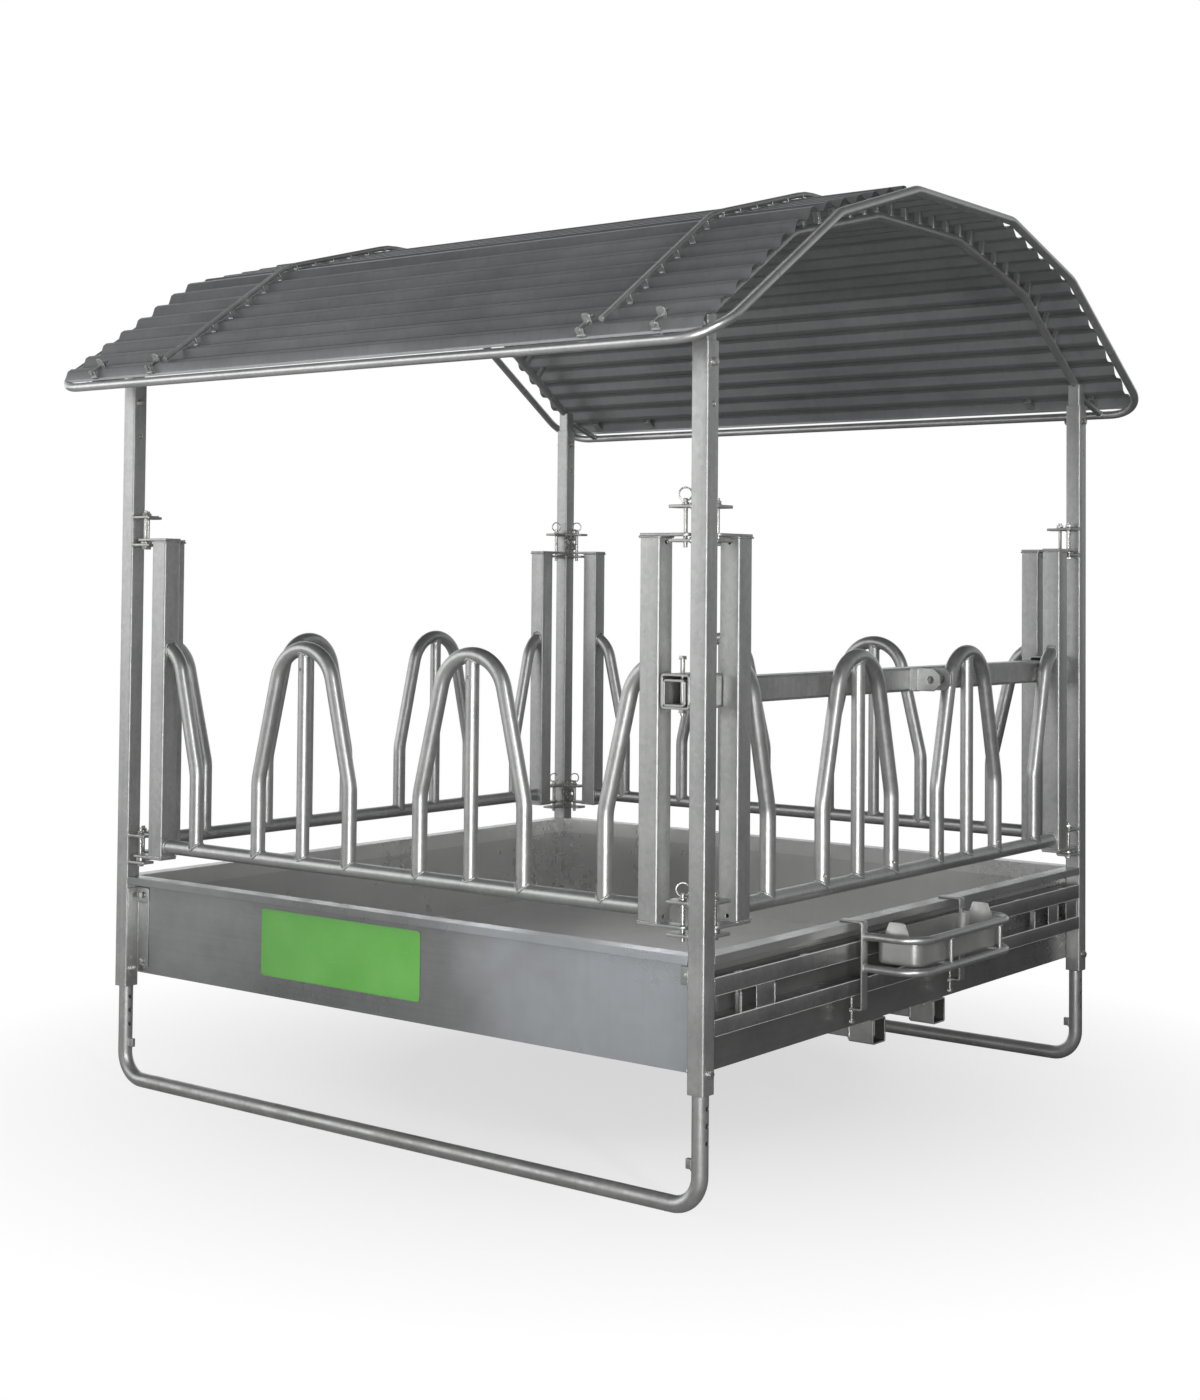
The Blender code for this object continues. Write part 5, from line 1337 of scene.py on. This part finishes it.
def build_rim():
    """Build the eave tubes with their bent corners, the end arches and the sleeve joints."""
    slope = (Vector(RIM_KNEE) - Vector(EAVE)).normalized()
    sleeve = Vector(EAVE) + slope * ((SLEEVE_AT - EAVE[0]) / slope.x)
    joints = bmesh.new()
    for side, place in ((-1.0, "front"), (1.0, "rear")):
        corners = ((-RIM_END, side * sleeve.x, sleeve.y), (-RIM_END, side * EAVE[0], EAVE[1]),
                   (RIM_END, side * EAVE[0], EAVE[1]), (RIM_END, side * sleeve.x, sleeve.y))
        shell = bmesh.new()
        sweep(shell, rounded_path(corners, RIM_CORNER, 14), RIM_TUBE, 24, wall=0.0025)
        name = "eave_tube_" + place
        tube = add_piece(name + "_bent", shell, RIM_PAINTED_LIGHT_ZINC, "roof", (name,))
        if side < 0.0:
            hole = bmesh.new()
            x = RIM_END - 0.055
            rod(hole, (x, -EAVE[0] - 0.030, EAVE[1] - 0.004), (x, -EAVE[0], EAVE[1]), 0.005, 14)
            carve(tube, hole)
        for x in (-RIM_END, RIM_END):
            near = Vector((x, side * sleeve.x, sleeve.y))
            ahead = Vector((0.0, side * slope.x, slope.y)) * 0.0045
            rod(joints, near - ahead * 0.3, near + ahead * 0.3, RIM_TUBE + 0.0002, 24, 0.0001)
    add_piece("rim_sleeve_joints", joints, CHAIN_ZINC, "roof", (), sharp=1.0)
    for x, place in ((-RIM_END, "left"), (RIM_END, "right")):
        shell = bmesh.new()
        sweep(shell, over_ridge(x, (sleeve, RIM_KNEE, RIM_CROWN), ARCH_BEND, 8), RIM_TUBE, 24)
        name = "end_arch_" + place
        add_piece(name + "_bent", shell, RIM_PAINTED_LIGHT_ZINC, "roof", (name,))


def height_on(line, distance):
    """Height of a roof line at a distance from the ridge."""
    for (near, high), (far, low) in zip(line, line[1:]):
        if distance <= far:
            return high + (low - high) * (distance - near) / (far - near)
    return line[-1][1]


def build_inner_arch(name, x, seed):
    """Build an arch that carries the sheets, its legs, its eave braces and its feet."""
    half = ((POST_CENTER, ROOF_LEG_TOP - 0.004), INNER_KNEE, INNER_CROWN)
    shell = bmesh.new()
    sweep(shell, over_ridge(x, half, ARCH_BEND, 8), ROOF_TUBE, 24)
    add_piece(name + "_bent", shell, TUBE_ZINC, "roof", (name,))
    legs = bmesh.new()
    braces = bmesh.new()
    welds = bmesh.new()
    for side in (-1.0, 1.0):
        middle = Matrix.Translation((x, side * POST_CENTER, (ROOF_LEG_TOP + ROOF_LEG_LOW) / 2.0))
        box_tube(legs, middle, 0.040, SHEET_WALL, ROOF_LEG_TOP - ROOF_LEG_LOW, 0.004)
        cap = (x, side * POST_CENTER, ROOF_LEG_TOP - 0.004)
        block(legs, cap, (0.036, 0.036, 0.006), UPRIGHT, 0.0005)
        inner = Vector((x, side * (POST_CENTER + 0.0185), ROOF_LEG_TOP - 0.029))
        outer = Vector((x, side * EAVE[0], EAVE[1]))
        away = (outer - inner).normalized()
        rod(braces, inner, outer - away * (ROOF_TUBE - 0.001), 0.010, 20)
        leg_top = Matrix.Translation((x, side * POST_CENTER, ROOF_LEG_TOP))
        bead(welds, loop_points(0.030, 0.030, leg_top, 0.005), 0.0030, seed + int(side))
        for point, size in ((inner, 0.0030), (outer - away * ROOF_TUBE, 0.0026)):
            spin = Matrix.Translation(point) @ away.to_track_quat("Z", "Y").to_matrix().to_4x4()
            bead(welds, ring_at(spin, 0.0105, 20), size, seed + 4 + int(side))
    add_piece(name + "_legs", legs, POST_ZINC, "roof")
    add_piece(name + "_braces", braces, TUBE_ZINC, "roof")
    outline = [(0.0, INNER_CROWN[1]), INNER_CROWN, INNER_KNEE, (POST_CENTER, ROOF_LEG_TOP - 0.012)]
    feet = bmesh.new()
    for number in range(-FEET_EACH_SIDE, FEET_EACH_SIDE + 1):
        drop = -RIB_DEPTH - ROOF_SHEET - SEAT_GAP
        if abs(number) <= RIBS_TO_LAP - 1:
            drop += SHEET_LAP_LIFT
        top, normal = on_roof(number * RIB_PITCH, drop)
        reach = 0.0
        low = top
        while low.z > height_on(outline, abs(low.y)) and reach < 0.120:
            reach += 0.001
            low = top - normal * reach
        place = roof_place(x, top - normal * reach / 2.0, normal)
        block(feet, (0.0, 0.0, 0.0), (0.018, 0.012, reach), place, 0.001)
        foot = roof_place(x, top - normal * (reach - 0.013), normal)
        bead(welds, loop_points(0.019, 0.013, foot, 0.004), 0.0020, seed + 20 + number)
    add_piece(name + "_feet", feet, POST_ZINC, "roof")
    add_welds(name + "_welds", welds, "roof")


def build_hold_down(name, x):
    """Build one bar over the crests with a saddle clip in every valley."""
    lift = SHEET_LAP_LIFT + 0.0006 + HOLD_DOWN_RADIUS
    path = []
    steps = 72
    for step in range(steps + 1):
        reach = HOLD_DOWN_REACH * (2.0 * step / steps - 1.0)
        point, _ = on_roof(reach, lift)
        path.append((x, point.y, point.z))
    shell = bmesh.new()
    sweep(shell, path, HOLD_DOWN_RADIUS, 18)
    add_piece(name + "_bar", shell, TUBE_ZINC, "roof", (name,))
    clips = bmesh.new()
    for number in range(-RIBS_TO_EAVE + 2, RIBS_TO_EAVE - 1):
        raise_by = SHEET_LAP_LIFT if abs(number) <= RIBS_TO_LAP else 0.0
        low, normal = on_roof(number * RIB_PITCH, -RIB_DEPTH + raise_by + SEAT_GAP)
        high, _ = on_roof(number * RIB_PITCH, lift - 0.002)
        tall = (high - low).length
        place = roof_place(x, (low + high) / 2.0, normal)
        block(clips, (0.0, 0.006, 0.0), (0.018, 0.003, tall), place, 0.0005)
        block(clips, (0.0, -0.0005, 0.0015 - tall / 2.0), (0.018, 0.014, 0.003), place, 0.0005)
    add_piece(name + "_clips", clips, POST_ZINC, "roof")


def build_eave_clamps():
    """Build the clamps that pull the sheets' lower edges down to the eave tubes."""
    straps = bmesh.new()
    bolts = bmesh.new()
    slope = (Vector(SHEET_KNEE) - Vector(SHEET_EAVE)).normalized()
    for side in (-1.0, 1.0):
        ahead = Vector((0.0, side * slope.x, slope.y))
        normal = Vector((0.0, side * slope.y, -slope.x))
        across = ahead.cross(normal)
        spin = Matrix((across, ahead, normal)).transposed().to_4x4()
        for x in EAVE_CLAMPS:
            root = Matrix.Translation((x, side * EAVE_CLAMP_SEAT[0], EAVE_CLAMP_SEAT[1])) @ spin
            block(straps, (0.0, 0.022, 0.0045), (0.026, 0.050, 0.004), root, 0.0006)
            tongue = rounded_outline(0.026, 0.044, 0.009, 4)
            place = root @ Matrix.Translation((0.0, 0.045, 0.022)) @ ALONG_Y
            prism(straps, tongue, 0.004, place, 0.0006)
            block(straps, (0.0, 0.002, 0.0125), (0.024, 0.004, 0.022), root, 0.0006)
            axis = spin.to_3x3() @ Vector((0.0, 1.0, 0.0))
            places = (-0.004, 0.072, 0.0475, 0.0005)
            tail, end, nut, head = (root @ Vector((0.0, along, 0.022)) for along in places)
            rod(bolts, tail, end, 0.0050, 16, 0.0008)
            hex_bolt(bolts, nut, axis, CLAMP_NUT)
            hex_bolt(bolts, head, -axis, CLAMP_HEAD)
    add_piece("eave_clamp_straps", straps, POST_ZINC, "roof")
    add_piece("eave_clamp_bolts", bolts, PLATED, "roof")


def build_roof():
    """Build all that lifts with the roof."""
    build_rim()
    build_inner_arch("inner_arch_left", -POST_CENTER, 1100)
    build_inner_arch("inner_arch_right", POST_CENTER, 1200)
    build_roof_sheet("roof_sheet_front", -RIBS_TO_EAVE, -RIBS_TO_LAP, 0.0)
    build_roof_sheet("roof_sheet_top", -RIBS_TO_LAP - 1, RIBS_TO_LAP + 1, SHEET_LAP_LIFT)
    build_roof_sheet("roof_sheet_rear", RIBS_TO_LAP, RIBS_TO_EAVE, 0.0)
    for place, x in HOLD_DOWN_PLACES:
        build_hold_down("hold_down_" + place, x)
    build_eave_clamps()


# ---- lick holder ---------------------------------------------------------------------


def build_lick_frame():
    """Build the two hook bars and the two loops that carry the bin."""
    top = TRAY_TOP + SEAT_GAP
    low, inside = LICK_HOOK_LOW
    shell = bmesh.new()
    back = LICK_BACK
    hook = [(back - 0.072, top), (back - 0.008, top), (back - 0.005, top - 0.003),
            (back - 0.005, inside + 0.003), (back - 0.008, inside), (1.088, inside), (1.088, low),
            (back - 0.006, low), (back - 0.0015, low + 0.002), (back, low + 0.007),
            (back, top - 0.002), (back - 0.0015, top + 0.0035), (back - 0.006, top + 0.005),
            (back - 0.072, top + 0.005)]
    for y in (LICK_FRONT, LICK_REAR):
        prism(shell, hook, 0.030, Matrix.Translation((0.0, y, 0.0)) @ ALONG_Y, 0.0006)
    add_piece("lick_holder_hooks", shell, POST_ZINC, "lick_holder",
              ("lick_holder_frame",))
    shell = bmesh.new()
    welds = bmesh.new()
    for z in LICK_LOOP_HEIGHTS:
        corners = ((LICK_BACK - 0.002, LICK_FRONT, z), (LICK_LOOP_OUT, LICK_FRONT, z),
                   (LICK_LOOP_OUT, LICK_REAR, z), (LICK_BACK - 0.002, LICK_REAR, z))
        sweep(shell, rounded_path(corners, 0.080, 12), LICK_LOOP_RADIUS, 24)
        for y in (LICK_FRONT, LICK_REAR):
            place = Matrix.Translation((LICK_BACK + 0.0005, y, z)) @ ALONG_X
            ring = ring_at(place, LICK_LOOP_RADIUS + 0.0005, 22)
            bead(welds, ring, 0.0024, 1400 + int(z * 100) + int(y * 10))
    low, high = LICK_LOOP_HEIGHTS
    for y in LICK_STAYS:
        rod(shell, (LICK_LOOP_OUT, y, low), (LICK_LOOP_OUT, y, high), 0.006, 16)
        strip = ((BIN_X[0] + LICK_LOOP_OUT) / 2.0, y, low + LICK_LOOP_RADIUS - 0.003)
        block(shell, strip, (LICK_LOOP_OUT - BIN_X[0], 0.020, 0.006))
        for z, away in ((low, 1.0), (high, -1.0)):
            place = Matrix.Translation((LICK_LOOP_OUT, y, z + away * LICK_LOOP_RADIUS * 0.93))
            bead(welds, ring_at(place, 0.0065, 16), 0.0022, 1450 + int(y * 100) + int(z * 10))
    add_piece("lick_holder_loops", shell, TUBE_ZINC, "lick_holder")
    add_welds("lick_holder_welds", welds, "lick_holder")


def build_lick_bin():
    """Build the open sheet bin with its raised ears."""
    low = LICK_LOOP_HEIGHTS[0] + LICK_LOOP_RADIUS + SEAT_GAP
    width, length = BIN_X[1] - BIN_X[0], BIN_Y[1] - BIN_Y[0]
    center = (BIN_X[0] + width / 2.0, BIN_Y[0] + length / 2.0)
    shell = bmesh.new()
    rings = []
    for inset, z in ((0.003, low), (0.0005, low + 0.003), (0.0, low + 0.008), (0.0, BIN_TOP),
                     (0.002, BIN_TOP), (0.002, low + 0.010), (0.006, low + 0.002)):
        outline = rounded_outline(width - 2.0 * inset, length - 2.0 * inset, 0.030 - inset, 8, center)
        rings.append([shell.verts.new((x, y, z)) for x, y in outline])
    for first, second in zip(rings, rings[1:]):
        ring_faces(shell, first, second)
    shell.faces.new(rings[0])
    shell.faces.new(rings[-1])
    add_piece("lick_bin_shell", shell, BIN_ZINC, "lick_holder", ("lick_bin",))
    shell = bmesh.new()
    half = width / 2.0 - 0.032
    ear = [(-half, 0.0), (half, 0.0), (half, 0.075), (half - 0.012, 0.1027), (0.0, 0.1035),
           (-half + 0.012, 0.1027), (-half, 0.075)]
    for y, lean in ((BIN_Y[0] + 0.0015, -0.02), (BIN_Y[1] - 0.0015, 0.02)):
        foot = Matrix.Translation((center[0], y, low + 0.010))
        prism(shell, ear, 0.0025, foot @ Matrix.Rotation(lean, 4, "X") @ ALONG_Y, 0.0004)
    add_piece("lick_bin_ears", shell, BIN_ZINC, "lick_holder")


def build_lick_clamps():
    """Build the clamp screws with their tee heads."""
    x = (TRAY_WALL_OUT + SEAT_GAP + RAIL_OUT) / 2.0 + 0.012
    for y, side in ((LICK_FRONT, "front"), (LICK_REAR, "rear")):
        shell = bmesh.new()
        rod(shell, (x, y, LICK_CLAMP[0]), (x, y, LICK_CLAMP[1]), 0.004, 16, 0.0006)
        hex_bolt(shell, (x, y, 0.3705), (0, 0, -1), LICK_HEAD)
        hex_bolt(shell, (x, y, 0.3995), (0, 0, -1), LICK_NUT)
        block(shell, (x - 0.002, y, 0.4347), (0.020, 0.020, 0.004), UPRIGHT, 0.0006)
        name = "lick_clamp_" + side
        add_piece(name + "_screw", shell, PLATED, "lick_holder", (name,))


# ---- chains ----------------------------------------------------------------------------


# Chain link: its length, its width, the radius of its wire, and the way from link to link.
LINK_LENGTH = 0.026
LINK_WIDTH = 0.015
LINK_WIRE = 0.0024
LINK_PITCH = 0.0185


def link(shell, center, along, across):
    """Add one chain link."""
    along, across = Vector(along).normalized(), Vector(across).normalized()
    across = (across - along * along.dot(across)).normalized()
    half = (LINK_LENGTH - LINK_WIDTH) / 2.0
    reach = LINK_WIDTH / 2.0 - LINK_WIRE / 2.0
    ring = []
    for angle in full_turn(24):
        ahead = (half if math.cos(angle) >= 0.0 else -half) + reach * math.cos(angle)
        ring.append(Vector(center) + along * ahead + across * reach * math.sin(angle))
    sweep(shell, ring, LINK_WIRE, 8, closed=True)


def build_chain(name, path, seed):
    """Lay links along the points, each turned a quarter from the last."""
    chance = random.Random(seed)
    shell = bmesh.new()
    spots = []
    left = 0.0
    for start, end in zip(path, path[1:]):
        start, end = Vector(start), Vector(end)
        span = (end - start).length
        while left < span:
            spots.append((start.lerp(end, left / span), (end - start).normalized()))
            left += LINK_PITCH
        left -= span
    for number, (spot, ahead) in enumerate(spots):
        across = ahead.orthogonal()
        turn = Matrix.Rotation(math.pi / 2.0 * number + chance.uniform(-0.3, 0.3), 3, ahead)
        link(shell, spot, ahead, turn @ across)
    add_piece(name, shell, CHAIN_ZINC, "frame", sharp=WELD_ANGLE)


def hanging(start, end, sag, steps):
    """Points of a slack chain between two places."""
    points = []
    for step in range(steps + 1):
        share = step / steps
        point = Vector(start).lerp(Vector(end), share)
        point.z -= sag * 4.0 * share * (1.0 - share)
        points.append(point)
    return points


def build_chains():
    """Hang the short chains of the rear left corner from its lugs."""
    for name, level in (("upper", LUG_LEVELS[3]), ("lower", LUG_LEVELS[1])):
        top = level + 0.012
        x, y = -POST_INNER_FACE + 0.016, POST_CENTER - 0.030
        path = hanging((x, y + 0.016, top), (x - 0.004, y - 0.014, top - 0.004), 0.085, 16)
        build_chain("chain_" + name + "_left", path, 21)
        path = hanging((x + 0.020, y + 0.012, top), (x + 0.026, y - 0.008, top - 0.006), 0.060, 16)
        build_chain("chain_" + name + "_right", path, 22)


# ---- floor, light and camera ---------------------------------------------------------


# Light, where it stands, what it is turned to, its width and height, and its power in watts.
LIGHTS = (
    ("sky_front_left", (-6.0, -7.2, 3.3), (0.0, 0.0, 1.2), (9.0, 5.2), 182.0),
    ("sky_top", (0.0, 0.0, 9.0), (0.0, 0.0, 0.0), (3.0, 3.0), 25.0),
    ("strip_right", (7.0, -4.6, 3.2), (0.0, 0.0, 1.2), (0.6, 3.5), 150.0),
    ("glow_under_roof", (3.5, -4.5, 0.4), (0.0, 0.2, 2.4), (2.0, 2.0), 130.0),
)
# Camera place, its azimuth, elevation and roll in degrees, and its lens in millimetres.
CAMERA_PLACE = (3.92845, -5.2472, 1.5375)
CAMERA_TURN = (37.57, -1.875, 0.5)
CAMERA_LENS = 52.87
CAMERA_SHIFT = -0.129


def stage_material():
    """Pale floor that turns into plain white for the camera away from the feeder."""
    material, wires, shader, place = blank_material("studio_floor")
    shader.inputs["Roughness"].default_value = 0.9
    shader.inputs["Specular IOR Level"].default_value = 0.1
    soft = wires.noise(place, 1.5, 3.0, 0.5)
    tone = wires.mix(soft, (0.90, 0.90, 0.90), (0.94, 0.94, 0.94))
    rays = wires.add("ShaderNodeLightPath").outputs["Is Camera Ray"]
    parts = wires.parts(place)
    shaded = wires.remap(wires.math("ADD", parts["X"], parts["Y"]), -4.0, 2.5, 0.0, 1.0)
    unseen = wires.mix(shaded, (0.85, 0.85, 0.84), (0.16, 0.16, 0.16))
    tone = wires.mix(rays, unseen, tone)
    wires.join(tone, shader.inputs["Base Color"])
    bright = wires.add("ShaderNodeEmission")
    bright.inputs["Strength"].default_value = 1.0
    reach = wires.add("ShaderNodeVectorMath", operation="LENGTH")
    wires.join(place, reach.inputs[0])
    far = wires.remap(reach.outputs["Value"], 0.7, 2.3, 0.62, 1.0)
    seen = wires.math("MULTIPLY", far, rays)
    blend = wires.add("ShaderNodeMixShader")
    wires.join(seen, blend.inputs[0])
    wires.join(shader.outputs[0], blend.inputs[1])
    wires.join(bright.outputs[0], blend.inputs[2])
    wires.join(blend.outputs[0], material.node_tree.nodes["Material Output"].inputs["Surface"])
    return material


def build_stage():
    """Lay the floor and set the plain surroundings."""
    shell = bmesh.new()
    bmesh.ops.create_grid(shell, x_segments=8, y_segments=8, size=30.0)
    mesh = bpy.data.meshes.new("floor")
    shell.to_mesh(mesh)
    shell.free()
    mesh.materials.append(stage_material())
    floor = bpy.data.objects.new("floor", mesh)
    bpy.context.scene.collection.objects.link(floor)

    world = bpy.data.worlds.new("studio")
    bpy.context.scene.world = world
    world.use_nodes = True
    wires = Wiring(world.node_tree)
    backdrop = world.node_tree.nodes["Background"]
    backdrop.inputs["Color"].default_value = (0.98, 0.99, 1.0, 1.0)
    toward = wires.parts(wires.add("ShaderNodeTexCoord").outputs["Generated"])
    height = wires.remap(toward["Z"], 0.10, 0.75, 0.60, 0.04)
    right = wires.remap(wires.math("ADD", toward["X"], toward["Y"]), 0.0, 1.2, 1.0, 0.62)
    behind = wires.remap(wires.math("SUBTRACT", toward["Y"], toward["X"]), 0.2, 1.4, 1.0, 2.8)
    spread = wires.math("MULTIPLY", height, wires.math("MULTIPLY", right, behind))
    wires.join(spread, backdrop.inputs["Strength"])
    seen = wires.add("ShaderNodeBackground")
    seen.inputs["Color"].default_value = (1.0, 1.0, 1.0, 1.0)
    rays = wires.add("ShaderNodeLightPath")
    pick = wires.add("ShaderNodeMixShader")
    wires.join(rays.outputs["Is Camera Ray"], pick.inputs[0])
    wires.join(backdrop.outputs[0], pick.inputs[1])
    wires.join(seen.outputs[0], pick.inputs[2])
    wires.join(pick.outputs[0], world.node_tree.nodes["World Output"].inputs["Surface"])


def add_light(name, place, target, size, power):
    """Set one soft area light."""
    data = bpy.data.lights.new(name, "AREA")
    data.shape = "RECTANGLE"
    data.size, data.size_y = size
    data.energy = power
    light = bpy.data.objects.new(name, data)
    light.location = place
    aim = Vector(target) - Vector(place)
    light.rotation_euler = aim.to_track_quat("-Z", "Y").to_euler()
    bpy.context.scene.collection.objects.link(light)


def build_lights():
    """Broad soft light from the front left and above, weaker fill from the right and under the roof."""
    for light in LIGHTS:
        add_light(*light)


def build_camera():
    """Set the camera where the photograph was taken from."""
    azimuth, elevation, roll = (math.radians(turn) for turn in CAMERA_TURN)
    back = Vector((math.sin(azimuth) * math.cos(elevation), -math.cos(azimuth) * math.cos(elevation),
                   math.sin(elevation)))
    right = Vector((math.cos(azimuth), math.sin(azimuth), 0.0))
    up = back.cross(right)
    side = right * math.cos(roll) + up * math.sin(roll)
    head = up * math.cos(roll) - right * math.sin(roll)
    data = bpy.data.cameras.new("camera")
    data.lens = CAMERA_LENS
    data.sensor_width = 36.0
    data.shift_y = CAMERA_SHIFT
    data.clip_end = 200.0
    camera = bpy.data.objects.new("camera", data)
    spin = Matrix((side, head, back)).transposed().to_4x4()
    camera.matrix_world = Matrix.Translation(CAMERA_PLACE) @ spin
    bpy.context.scene.collection.objects.link(camera)
    bpy.context.scene.camera = camera


build_fences()
build_frame()
build_tray_details()
build_side_rails()
build_fork_pockets()
build_hitch()
build_roof()
build_lick_frame()
build_lick_bin()
build_lick_clamps()
build_chains()
build_stage()
build_lights()
build_camera()
bpy.context.scene.view_settings.view_transform = "Standard"
